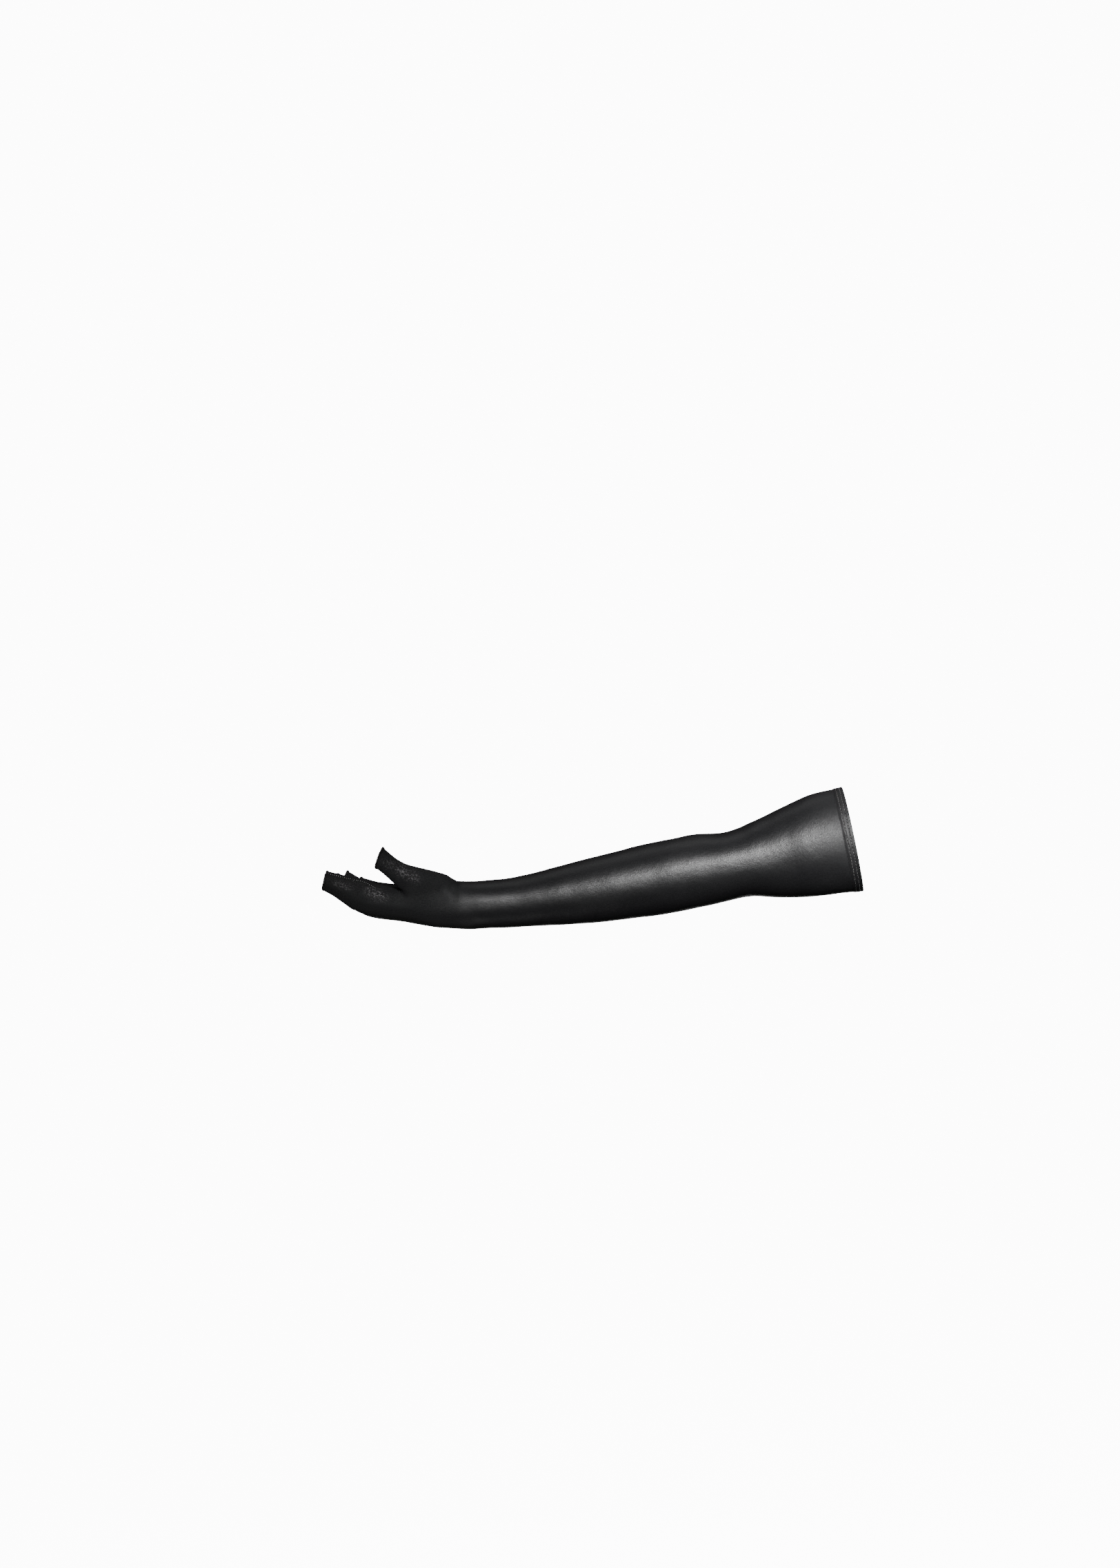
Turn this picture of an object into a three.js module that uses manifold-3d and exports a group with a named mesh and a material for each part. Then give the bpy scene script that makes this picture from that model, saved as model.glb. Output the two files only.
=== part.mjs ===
// Evening mitten for the left hand: an opera-length fingerless glove in black coated stretch cloth,
// in the form that it has when worn, palm up. Two cut panels, one over the back of the hand and one
// over the palm, meet along a seam that runs from the arm opening round the thumb, between the
// fingers and back. A turned hem closes the arm end, and a rolled edge finishes each finger opening.
//
// Millimetres. The origin is the centre of the arm opening, +X points out of it towards the
// shoulder, -X to the fingertips, +Z is the palm side and -Y the thumb side.
import * as THREE from "three";
import { ConvexGeometry } from "three/addons/geometries/ConvexGeometry.js";
import { mergeVertices } from "three/addons/utils/BufferGeometryUtils.js";
import Module from "manifold-3d";

const wasm = await Module();
wasm.setup();

// Cloth
const WALL = 1.2; // coated cloth with its knitted back
const SEAM_GAP = 0.35; // between the two panels, all along the seam
const FIT_GAP = 0.3; // between a panel's end and the hem or edge that is sewn to it
const LENGTH_GAP = 0.1; // hairline between two lengths of the back panel

// Arm opening hem and finger edges
const HEM_WIDTH = 9;
const HEM_THICKNESS = 2;
const EDGE_WIDTH = 2.2;
const EDGE_THICKNESS = 1.9;

// Sleeve and hand: the worn sizes. Height is along Z and width along Y.
const UPPER_ARM = { length: 96, drop: 21, height: 94, width: 86 };
const FOREARM = { length: 246, drop: 37.9, height: 65.3, width: 80 };
const HAND = { length: 102, rise: 11.9, height: 43, width: 81 };

// Finger stalls: the index finger's sizes, which the others follow
const STALL_LENGTH = 46.5;
const STALL_HEIGHT = 17;
const STALL_WIDTH = 17.3;

// Thumb stall
const THUMB_LENGTH = 75.8;
const THUMB_HEIGHT = 19.5;
const THUMB_WIDTH = 19;

// How finely the cloth is faceted
const SLEEVE_SIDES = 26;
const STALL_SIDES = 15;
const SLEEVE_STEP = 17.5;
const HAND_STEP = 8.8;
const STALL_STEPS = 5;
const THUMB_STEPS = 8;

const DEGREE = Math.PI / 180;
const FULL_TURN = 2 * Math.PI;

// Cross-sections of the sleeve and hand, from the arm opening to the webs between the fingers.
// along, fall, height and width are shares of the sizes of the stretch that the table is for.
// sway is a share of its width, towards the little finger. lean is how far the top of the section
// tips towards the fingers, in degrees, skew how far its thumb side runs ahead, as a slope, and
// square the power of its superellipse.
const UPPER_ARM_ROWS = [
  { along: 0, fall: 0, height: 1, width: 1, sway: 0, lean: 11.7, skew: 0, square: 2.05 },
  { along: 0.31, fall: 0.25, height: 0.97, width: 0.985, sway: 0.01, lean: 11.5, skew: 0, square: 2.05 },
  { along: 0.46, fall: 0.42, height: 0.92, width: 0.97, sway: 0.015, lean: 11, skew: 0, square: 2.1 },
  { along: 0.62, fall: 0.605, height: 0.851, width: 0.955, sway: 0.025, lean: 10.5, skew: 0, square: 2.15 },
  { along: 0.74, fall: 0.75, height: 0.791, width: 0.95, sway: 0.03, lean: 10.5, skew: 0, square: 2.2 },
  { along: 0.88, fall: 0.88, height: 0.723, width: 0.95, sway: 0.035, lean: 10.5, skew: 0, square: 2.25 },
];
const FOREARM_ROWS = [
  { along: 0, fall: 0, height: 0.972, width: 1.02, sway: 0.042, lean: 10.5, skew: 0, square: 2.25 },
  { along: 0.053, fall: 0.066, height: 0.948, width: 1.02, sway: 0.044, lean: 10.5, skew: 0, square: 2.25 },
  { along: 0.15, fall: 0.174, height: 0.983, width: 1.01, sway: 0.045, lean: 10, skew: 0, square: 2.2 },
  { along: 0.252, fall: 0.298, height: 1, width: 0.995, sway: 0.043, lean: 9.5, skew: 0, square: 2.2 },
  { along: 0.35, fall: 0.42, height: 0.982, width: 0.965, sway: 0.038, lean: 9.5, skew: 0, square: 2.15 },
  { along: 0.451, fall: 0.541, height: 0.94, width: 0.93, sway: 0.032, lean: 9, skew: 0, square: 2.15 },
  { along: 0.549, fall: 0.652, height: 0.885, width: 0.885, sway: 0.026, lean: 8.5, skew: 0, square: 2.15 },
  { along: 0.65, fall: 0.763, height: 0.813, width: 0.83, sway: 0.018, lean: 8, skew: 0, square: 2.15 },
  { along: 0.752, fall: 0.866, height: 0.732, width: 0.77, sway: 0.01, lean: 6.5, skew: 0, square: 2.2 },
  { along: 0.85, fall: 0.945, height: 0.675, width: 0.72, sway: 0.004, lean: 5, skew: 0, square: 2.25 },
  { along: 0.951, fall: 0.99, height: 0.654, width: 0.692, sway: 0, lean: 2.5, skew: 0, square: 2.3 },
];
const HAND_ROWS = [
  { along: 0, fall: 0, height: 1, width: 0.68, sway: 0, lean: 1, skew: 0, square: 2.35 },
  { along: 0.126, fall: -0.033, height: 0.986, width: 0.72, sway: 0, lean: 0, skew: 0, square: 2.4 },
  { along: 0.272, fall: -0.043, height: 0.94, width: 0.81, sway: 0, lean: -1, skew: 0, square: 2.45 },
  { along: 0.417, fall: -0.144, height: 0.88, width: 0.9, sway: 0, lean: -2, skew: 0.02, square: 2.5 },
  { along: 0.563, fall: -0.244, height: 0.832, width: 0.965, sway: 0, lean: -3, skew: 0.06, square: 2.55 },
  { along: 0.718, fall: -0.328, height: 0.774, width: 1, sway: 0, lean: -5, skew: 0.12, square: 2.6 },
  { along: 0.835, fall: -0.46, height: 0.725, width: 1, sway: 0, lean: -9, skew: 0.18, square: 2.6 },
  { along: 0.912, fall: -0.69, height: 0.665, width: 0.975, sway: 0, lean: -15, skew: 0.23, square: 2.5 },
  { along: 0.96, fall: -0.9, height: 0.5, width: 0.94, sway: 0, lean: -18, skew: 0.25, square: 2.4 },
  { along: 0.985, fall: -0.97, height: 0.34, width: 0.9, sway: 0, lean: -20, skew: 0.26, square: 2.3 },
  { along: 1, fall: -1, height: 0.16, width: 0.86, sway: 0, lean: -20, skew: 0.26, square: 2.2 },
];

// Shallow folds and pulls that the worn cloth keeps: where each lies along the sleeve as a share of
// the whole, the side it is on in degrees from the palm side round by the thumb, how deep it is as
// a share of the cloth's thickness (raised where negative), and its spread along and around.
const FOLDS = [
  { name: "inner_elbow", along: 0.25, side: 350, depth: 0.9, length: 0.03, spread: 45 },
  { name: "inner_elbow_roll", along: 0.31, side: 345, depth: -0.6, length: 0.03, spread: 50 },
  { name: "elbow_point", along: 0.215, side: 180, depth: 0.7, length: 0.03, spread: 40 },
  { name: "forearm_pull", along: 0.52, side: 300, depth: 0.6, length: 0.06, spread: 35 },
  { name: "wrist_crease", along: 0.785, side: 65, depth: 0.7, length: 0.02, spread: 25 },
  { name: "palm_hollow", along: 0.89, side: 350, depth: 1.8, length: 0.05, spread: 35 },
];

// Finger stalls. knuckle and reach are shares of the hand's length and of STALL_LENGTH, across and
// level of its width and height, height and width of the index's, and taper is how much of the
// table's thickening it has. pitch is how steeply the stall rises and splay how far it turns to the
// little finger, and lean tips its opening, in degrees.
const STALLS = [
  {
    name: "index",
    knuckle: 0.832,
    across: -0.364,
    level: 0,
    reach: 1,
    pitch: 21.8,
    splay: -4,
    lean: -13,
    height: 1,
    width: 1,
    taper: 1,
  },
  {
    name: "middle",
    knuckle: 0.86,
    across: -0.123,
    level: 0.01,
    reach: 0.755,
    pitch: 23.6,
    splay: -1,
    lean: -18,
    height: 0.97,
    width: 0.98,
    taper: 0.8,
  },
  {
    name: "ring",
    knuckle: 0.8,
    across: 0.117,
    level: -0.025,
    reach: 0.795,
    pitch: 33,
    splay: 3,
    lean: -26,
    height: 0.91,
    width: 0.93,
    taper: 0.4,
  },
  {
    name: "little",
    knuckle: 0.695,
    across: 0.345,
    level: 0.07,
    reach: 0.69,
    pitch: 21.5,
    splay: 7,
    lean: -24,
    height: 0.82,
    width: 0.85,
    taper: 0.55,
  },
];
// How thick a stall is on its way from the knuckle to its opening, over its size at the opening.
const STALL_ROWS = [
  { along: 0, height: 1.2, width: 0.9, bow: 0 },
  { along: 0.25, height: 1.62, width: 1.16, bow: -0.03 },
  { along: 0.5, height: 1.43, width: 1.17, bow: -0.03 },
  { along: 0.75, height: 1.18, width: 1.08, bow: 0 },
  { along: 1, height: 1, width: 1, bow: 0 },
];

// Thumb stall, from inside the heel of the hand. Its places are shares of the hand's sizes, and bow
// bends its axis, as a share of its height.
const THUMB = {
  knuckle: 0.22,
  across: -0.222,
  level: 0.03,
  pitch: 36.1,
  splay: -22,
  lean: -20,
  turn: 0.12,
  taper: 1,
};
const THUMB_ROWS = [
  { along: 0, height: 2.15, width: 1.15, bow: 0.08 },
  { along: 0.15, height: 2, width: 1.3, bow: 0.15 },
  { along: 0.3, height: 1.77, width: 1.38, bow: 0.1 },
  { along: 0.42, height: 1.55, width: 1.36, bow: 0.04 },
  { along: 0.57, height: 1.25, width: 1.22, bow: -0.02 },
  { along: 0.68, height: 1.04, width: 1.08, bow: -0.05 },
  { along: 0.8, height: 0.93, width: 1, bow: -0.05 },
  { along: 0.9, height: 0.93, width: 0.98, bow: -0.02 },
  { along: 1, height: 1, width: 1, bow: 0 },
];
// The ball of the thumb, where the cloth runs smoothly from the palm and the wrist onto the thumb:
// the stretch of the hand that it covers, how far from the middle it begins, as a share of the
// hand's width, how far under the skin it starts there, as a share of the cloth's thickness, and
// the stretch of the thumb.
const THUMB_BALL = { hand: [0.12, 0.5], across: -0.12, under: 1.1, thumb: [0, 0.45] };

// Where the seam runs round each part, in degrees from the palm side round by the thumb side.
const ARM_SEAM_ROWS = [
  { along: 0, thumb_side: -12, little_side: 190 },
  { along: 0.3, thumb_side: -10, little_side: 192 },
  { along: 0.6, thumb_side: -4, little_side: 205 },
  { along: 0.775, thumb_side: 8, little_side: 240 },
  { along: 0.86, thumb_side: 25, little_side: 262 },
  { along: 1, thumb_side: 55, little_side: 270 },
];
const THUMB_SEAM = 14;
const LITTLE_SEAM = 270;
const INDEX_SEAM_DROP = 0.29; // how far under the index finger's axis the seam from the thumb
// aims, as a share of that stall's height

const SLEEVE_LENGTH = UPPER_ARM.length + FOREARM.length + HAND.length;
const COLUMNS = ["x", "y", "z", "height", "width", "lean", "skew", "square"];

// The table's row at a share t of its length, each column on a smooth curve through the rows, and
// straight on past both ends.
function rowAt(rows, t, columns = COLUMNS) {
  let i = 0;
  while (i < rows.length - 2 && t > rows[i + 1].along) i += 1;
  const [a, b] = [rows[i], rows[i + 1]];
  const span = b.along - a.along;
  const u = Math.min(1, Math.max(0, (t - a.along) / span));
  const past = t - (a.along + u * span);
  const row = { along: t };
  for (const key of columns) {
    const slope = (j) => {
      const [p, q] = [rows[Math.max(0, j - 1)], rows[Math.min(rows.length - 1, j + 1)]];
      return (q[key] - p[key]) / (q.along - p.along);
    };
    const [start, end] = [slope(i) * span, slope(i + 1) * span];
    const bend = (2 * u - 3) * u * u;
    row[key] =
      a[key] * (1 + bend) - b[key] * bend + start * u * (1 - u) ** 2 - end * u * u * (1 - u);
    if (past !== 0) row[key] += (past < 0 ? start : end) * (past / span);
  }
  return row;
}

// A tube's frame at t: its centre, the way to its palm side and the way to its thumb side.
function frameAt(tube, t) {
  const row = rowAt(tube.rows, t);
  const tip = row.lean * DEGREE;
  return {
    row,
    centre: new THREE.Vector3(row.x, row.y, row.z),
    up: new THREE.Vector3(-Math.sin(tip), 0, Math.cos(tip)),
    side: new THREE.Vector3(-row.skew, -1, 0),
  };
}

// The point of a tube's skin at t and an angle in degrees, moved outwards by a length.
function skinPoint(tube, t, angle, outwards = 0) {
  const { row, centre, up, side } = frameAt(tube, t);
  const [c, s] = [Math.cos(angle * DEGREE), Math.sin(angle * DEGREE)];
  const round = (v) => Math.sign(v) * Math.abs(v) ** (2 / row.square);
  const relief = tube.relief ? tube.relief(t, angle) : 0;
  const reach = outwards + relief;
  return centre
    .addScaledVector(up, (row.height / 2 + reach) * round(c))
    .addScaledVector(side, (row.width / 2 + reach) * round(s));
}

// The relief of the folds on the sleeve at a share of its length and an angle.
function foldRelief(t, angle) {
  let relief = 0;
  for (const fold of FOLDS) {
    const turn = ((((angle - fold.side) % 360) + 540) % 360) - 180;
    const near = ((t - fold.along) / fold.length) ** 2 + (turn / fold.spread) ** 2;
    relief -= fold.depth * WALL * Math.exp(-near);
  }
  return relief;
}

function sleeveTube() {
  const rows = [];
  const add = (table, part, x, z, fallSize, widthSize) => {
    for (const r of table)
      rows.push({
        along: -(x - r.along * part.length) / SLEEVE_LENGTH,
        x: x - r.along * part.length,
        y: r.sway * widthSize,
        z: z - r.fall * fallSize,
        height: r.height * part.height,
        width: r.width * widthSize,
        lean: r.lean,
        skew: r.skew,
        square: r.square,
      });
  };
  add(UPPER_ARM_ROWS, UPPER_ARM, 0, 0, UPPER_ARM.drop, UPPER_ARM.width);
  add(FOREARM_ROWS, FOREARM, -UPPER_ARM.length, -UPPER_ARM.drop, FOREARM.drop, FOREARM.width);
  const wrist = wristPoint();
  add(HAND_ROWS, HAND, wrist.x, wrist.z, HAND.rise, HAND.width);
  return { rows, relief: foldRelief };
}

function wristPoint() {
  return { x: -UPPER_ARM.length - FOREARM.length, z: -UPPER_ARM.drop - FOREARM.drop };
}

// A stall's tube from its knuckle along its pitch and splay, with sizes from a table of shares.
function stallTube(start, length, spec, table, height, width) {
  const [pitch, splay] = [spec.pitch * DEGREE, spec.splay * DEGREE];
  const way = new THREE.Vector3(
    -Math.cos(pitch) * Math.cos(splay),
    Math.sin(splay),
    Math.sin(pitch) * Math.cos(splay),
  );
  const turn = -Math.tan(splay);
  const rows = table.map((r) => ({
    along: r.along,
    x: start.x + way.x * length * r.along,
    y: start.y + way.y * length * r.along,
    z: start.z + way.z * length * r.along + r.bow * height,
    height: height * (1 + (r.height - 1) * spec.taper),
    width: width * r.width,
    lean: -spec.pitch + (spec.pitch + spec.lean) * r.along ** 2,
    skew: turn + ((spec.turn ?? turn) - turn) * r.along,
    square: 2.1,
  }));
  return { rows, length };
}

// A point inside the hand: a share of its length from the wrist, of its width to the little finger
// and of its height above its own middle.
function handPoint(sleeve, along, across, level) {
  const t = (UPPER_ARM.length + FOREARM.length + along * HAND.length) / SLEEVE_LENGTH;
  const row = rowAt(sleeve.rows, t);
  return new THREE.Vector3(row.x, across * HAND.width, row.z + level * HAND.height);
}

// Evenly spaced shares from one value to another, about a step apart along a length.
function shares(from, to, length, step) {
  const count = Math.max(1, Math.round((Math.abs(to - from) * length) / step));
  return Array.from({ length: count + 1 }, (_, i) => from + ((to - from) * i) / count);
}

// A closed solid from rings of points: each ring joins the next, and fans close both ends.
function ringSolid(rings) {
  const sides = rings[0].length;
  const points = rings.flat();
  const triangles = [];
  for (let i = 0; i < rings.length - 1; i += 1)
    for (let j = 0; j < sides; j += 1) {
      const [a, b] = [i * sides + j, i * sides + ((j + 1) % sides)];
      triangles.push(a, b, b + sides, a, b + sides, a + sides);
    }
  for (const [first, turned] of [
    [0, true],
    [(rings.length - 1) * sides, false],
  ]) {
    const centre = new THREE.Vector3();
    for (let j = 0; j < sides; j += 1) centre.addScaledVector(points[first + j], 1 / sides);
    points.push(centre);
    for (let j = 0; j < sides; j += 1) {
      const [a, b] = [first + j, first + ((j + 1) % sides)];
      if (turned) triangles.push(a, points.length - 1, b);
      else triangles.push(a, b, points.length - 1);
    }
  }
  return solidOf(points, triangles);
}

// A closed solid of one profile carried all the way round: the last ring joins the first.
function loopSolid(rings) {
  const sides = rings[0].length;
  const triangles = [];
  rings.forEach((_, i) => {
    const next = ((i + 1) % rings.length) * sides;
    for (let j = 0; j < sides; j += 1) {
      const k = (j + 1) % sides;
      triangles.push(i * sides + j, i * sides + k, next + k);
      triangles.push(i * sides + j, next + k, next + j);
    }
  });
  return solidOf(rings.flat(), triangles);
}

// A manifold solid from points and triangles, turned to face outwards.
function solidOf(points, triangles) {
  const geometry = new THREE.BufferGeometry().setFromPoints(points);
  geometry.setIndex(triangles);
  const merged = mergeVertices(geometry, 1e-4);
  const build = (order) =>
    new wasm.Manifold(
      new wasm.Mesh({
        numProp: 3,
        vertProperties: merged.attributes.position.array,
        triVerts: order,
      }),
    );
  const order = new Uint32Array(merged.index.array);
  const made = build(order);
  if (made.volume() > 0) return made;
  for (let i = 0; i < order.length; i += 3) [order[i + 1], order[i + 2]] = [order[i + 2], order[i + 1]];
  return build(order);
}

// The solid inside a tube's skin, moved outwards by a length, between two shares of its length.
function tubeSolid(tube, stations, sides, outwards) {
  return ringSolid(
    stations.map((t) =>
      Array.from({ length: sides }, (_, j) => skinPoint(tube, t, (360 * j) / sides, outwards)),
    ),
  );
}

// A thin curtain that cuts the cloth along a seam: pairs of an inner and an outer point, thickened
// by the seam's gap. Both faces are split on the same diagonal, so that a twisted curtain stays whole.
function seamCurtain(pairs) {
  const points = [];
  const triangles = [];
  pairs.forEach(([inner, outer], i) => {
    const [before, after] = [pairs[Math.max(0, i - 1)], pairs[Math.min(pairs.length - 1, i + 1)]];
    const along = after[1].clone().add(after[0]).sub(before[1]).sub(before[0]);
    const across = outer.clone().sub(inner);
    const thick = along.cross(across).normalize().multiplyScalar(SEAM_GAP / 2);
    points.push(
      inner.clone().add(thick),
      outer.clone().add(thick),
      inner.clone().sub(thick),
      outer.clone().sub(thick),
    );
    const [a, b, c, d] = [4 * i, 4 * i + 1, 4 * i + 2, 4 * i + 3];
    if (i === 0) triangles.push(a, c, d, a, d, b);
    if (i === pairs.length - 1) {
      triangles.push(a, d, c, a, b, d);
      return;
    }
    triangles.push(a, b, b + 4, a, b + 4, a + 4);
    triangles.push(c, d + 4, d, c, c + 4, d + 4);
    triangles.push(b, d, d + 4, b, d + 4, b + 4);
    triangles.push(a, a + 4, c + 4, a, c + 4, c);
  });
  return solidOf(points, triangles);
}

// A band round a tube: a rounded profile as wide as the band along the tube, centred on a share of
// its length, that stands from an inner to an outer distance from the skin.
function band(tube, middle, width, inside, outside, sides, corners) {
  const length = tube.length ?? SLEEVE_LENGTH;
  const [depth, half] = [(inside + outside) / 2, (outside - inside) / 2];
  const rings = Array.from({ length: sides }, (_, j) =>
    Array.from({ length: corners }, (_, k) => {
      const turn = (FULL_TURN * (k + 0.5)) / corners;
      const corner = 1 / Math.cos(Math.PI / corners);
      const squash = (v) => Math.min(1, Math.max(-1, v * corner));
      const t = middle + ((width / 2) * squash(Math.cos(turn))) / length;
      return skinPoint(tube, t, (360 * j) / sides, depth + half * squash(Math.sin(turn)));
    }),
  );
  return loopSolid(rings);
}

const sleeve = sleeveTube();
const stalls = STALLS.map((spec) => {
  const start = handPoint(sleeve, spec.knuckle, spec.across, spec.level);
  const [height, width] = [STALL_HEIGHT * spec.height, STALL_WIDTH * spec.width];
  const tube = stallTube(start, STALL_LENGTH * spec.reach, spec, STALL_ROWS, height, width);
  return { ...spec, tube, webStart: 0 };
});
const thumb = {
  name: "thumb",
  webStart: 0.3,
  tube: stallTube(
    handPoint(sleeve, THUMB.knuckle, THUMB.across, THUMB.level),
    THUMB_LENGTH,
    THUMB,
    THUMB_ROWS,
    THUMB_HEIGHT,
    THUMB_WIDTH,
  ),
};
const digits = [thumb, ...stalls];

// Where the back panel, which is cut in one in the real cloth, is parted into shorter lengths: shares
// of the way from the arm opening to the wrist and from there to the webs between the fingers.
const LENGTHS = { arm: [0.29, 0.57, 0.86], hand: [0.55] };
const BACK_LENGTHS = ["upper_arm", "elbow", "forearm", "hand", "fingers"];

// Panels end short of the hem at the arm and of the rolled edge at each digit.
const hemEnd = (HEM_WIDTH + FIT_GAP) / SLEEVE_LENGTH;
const edgeStart = (digit) => 1 - (EDGE_WIDTH + FIT_GAP) / digit.tube.length;

// The sleeve, hand and stalls as one solid, with its skin moved outwards by a length. ends says how
// far it runs past the panel's ends, and start how far inside the hand each stall begins.
function mittenSolid(outwards, ends, start) {
  const wrist = (UPPER_ARM.length + FOREARM.length) / SLEEVE_LENGTH;
  const round = wrist + (0.91 * HAND.length) / SLEEVE_LENGTH;
  const webs = 1 + outwards / SLEEVE_LENGTH;
  const stations = [
    ...shares(hemEnd - ends / SLEEVE_LENGTH, wrist, SLEEVE_LENGTH, SLEEVE_STEP),
    ...shares(wrist, round, SLEEVE_LENGTH, HAND_STEP).slice(1),
    ...[0.55, 0.85, 1].map((share) => round + share * (webs - round)),
  ];
  let solid = tubeSolid(sleeve, stations, SLEEVE_SIDES, outwards);
  for (const digit of digits) {
    const steps = digit === thumb ? THUMB_STEPS : STALL_STEPS;
    const [from, to] = [start / digit.tube.length, edgeStart(digit) + ends / digit.tube.length];
    const along = Array.from({ length: steps + 1 }, (_, i) => from + ((to - from) * i) / steps);
    solid = solid.add(tubeSolid(digit.tube, along, STALL_SIDES, outwards));
  }
  return solid.add(thumbBall(outwards));
}

// The ball of the thumb: the convex shape round a stretch of the hand's thumb side and one of the
// thumb.
function thumbBall(outwards) {
  const inHand = THUMB_BALL.hand.map(
    (share) => (UPPER_ARM.length + FOREARM.length + share * HAND.length) / SLEEVE_LENGTH,
  );
  const points = [];
  for (const t of shares(...inHand, SLEEVE_LENGTH, HAND_STEP))
    for (let j = 0; j < SLEEVE_SIDES; j += 1) {
      const angle = (360 * j) / SLEEVE_SIDES;
      const point = skinPoint(sleeve, t, angle, outwards - THUMB_BALL.under * WALL);
      if (point.y < THUMB_BALL.across * HAND.width) points.push(point);
    }
  for (const t of shares(...THUMB_BALL.thumb, THUMB_LENGTH, HAND_STEP))
    for (let j = 0; j < STALL_SIDES; j += 1)
      points.push(skinPoint(thumb.tube, t, (360 * j) / STALL_SIDES, outwards));
  const { position } = new ConvexGeometry(points).attributes;
  const corners = Array.from({ length: position.count }, (_, i) =>
    new THREE.Vector3().fromBufferAttribute(position, i),
  );
  return solidOf(corners, [...corners.keys()]);
}

// The curtains that part the back panel from the palm panel.
function seamCurtains() {
  const BEYOND = 5 * WALL; // past the skin and past the ends, so that the cut goes right through
  const BEYOND_TIPS = 0.7 * STALL_LENGTH; // past the openings, where a curtain slants tip to tip
  const centreAt = (tube, t) => frameAt(tube, t).centre;
  const last = (digit) => 1 + BEYOND / digit.tube.length;
  const pair = (tube, t, angle) => [centreAt(tube, t), skinPoint(tube, t, angle, BEYOND)];
  const seamAngle = (t, side) => rowAt(ARM_SEAM_ROWS, t, [side])[side];
  const wrist = (UPPER_ARM.length + FOREARM.length) / SLEEVE_LENGTH;
  const start = -BEYOND / SLEEVE_LENGTH;
  const armStations = shares(start, wrist, SLEEVE_LENGTH, SLEEVE_STEP);

  // From the arm opening up the forearm and along the outer side of the thumb.
  const thumbSide = armStations.map((t) => pair(sleeve, t, seamAngle(t, "thumb_side")));
  const thumbStations = shares(0.2, last(thumb), THUMB_LENGTH, HAND_STEP);
  for (const t of thumbStations) thumbSide.push(pair(thumb.tube, t, THUMB_SEAM));

  // Between each two neighbours, from the thumb and index finger to the ring and little fingers.
  const between = digits.slice(1).map((next, i) => {
    const digit = digits[i];
    return [0, 0.1, 0.2, 0.3, 0.4, 0.5, 0.65, 0.8, 1].map((share) =>
      [digit, next].map(({ tube, webStart }, side) => {
        const end = 1 + BEYOND_TIPS / tube.length;
        const point = centreAt(tube, webStart + (end - webStart) * share);
        if (digit === thumb && side === 1) point.z -= INDEX_SEAM_DROP * STALL_HEIGHT;
        return point;
      }),
    );
  });

  // Along the outer side of the little finger and back down the arm.
  const little = stalls[stalls.length - 1];
  const littleSide = shares(last(little), 0.3, little.tube.length, HAND_STEP).map((t) =>
    pair(little.tube, t, LITTLE_SEAM),
  );
  for (const t of shares(0.95, wrist, SLEEVE_LENGTH, HAND_STEP))
    littleSide.push(pair(sleeve, t, seamAngle(t, "little_side")));
  for (const t of [...armStations].reverse().slice(1))
    littleSide.push(pair(sleeve, t, seamAngle(t, "little_side")));

  return [thumbSide, ...between, littleSide].map(seamCurtain);
}

// The shares of the sleeve at which the back panel is parted, each on a ring of the cloth's facets.
function partings() {
  const wrist = (UPPER_ARM.length + FOREARM.length) / SLEEVE_LENGTH;
  const round = wrist + (0.91 * HAND.length) / SLEEVE_LENGTH;
  const arm = shares(hemEnd, wrist, SLEEVE_LENGTH, SLEEVE_STEP);
  const hand = shares(wrist, round, SLEEVE_LENGTH, HAND_STEP);
  const ring = (stations) => (share) => stations[Math.round(share * (stations.length - 1))];
  return [...LENGTHS.arm.map(ring(arm)), ...LENGTHS.hand.map(ring(hand))];
}

// A thin slab in the plane of the sleeve's section at t, wide enough to cut right through the hand.
function slabAt(t) {
  const { centre, up, side } = frameAt(sleeve, t);
  const wide = side.clone().addScaledVector(up, -side.dot(up)).normalize();
  const reach = 2 * UPPER_ARM.height;
  const turn = new THREE.Matrix4().makeBasis(wide, up, wide.clone().cross(up)).setPosition(centre);
  const { attributes, index } = new THREE.BoxGeometry(reach, reach, LENGTH_GAP).applyMatrix4(turn);
  const points = Array.from({ length: attributes.position.count }, (_, i) =>
    new THREE.Vector3().fromBufferAttribute(attributes.position, i),
  );
  return solidOf(points, [...index.array]);
}

function panels() {
  const through = HEM_WIDTH; // how far the hollow runs past the panels' ends
  let shell = mittenSolid(0, 0, 0).subtract(mittenSolid(-WALL, through, 2 * WALL));
  for (const curtain of seamCurtains()) shell = shell.subtract(curtain);
  const pieces = shell.decompose().filter((piece) => piece.volume() > 1);
  if (pieces.length !== 2)
    throw new Error(
      "the seams leave " + pieces.map((p) => p.volume().toFixed(0) + " mm3").join(", "),
    );
  const height = (piece) => {
    const { min, max } = piece.boundingBox();
    return min[2] + max[2];
  };
  const [back, palm] = pieces.sort((a, b) => height(a) - height(b));
  const parted = partings().reduce((cloth, t) => cloth.subtract(slabAt(t)), back);
  const place = (piece) => piece.boundingBox().max[0];
  const lengths = parted.decompose().sort((a, b) => place(b) - place(a));
  if (lengths.length !== BACK_LENGTHS.length)
    throw new Error("the back panel is parted into " + lengths.length + " lengths");
  return { lengths, palm };
}

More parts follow.
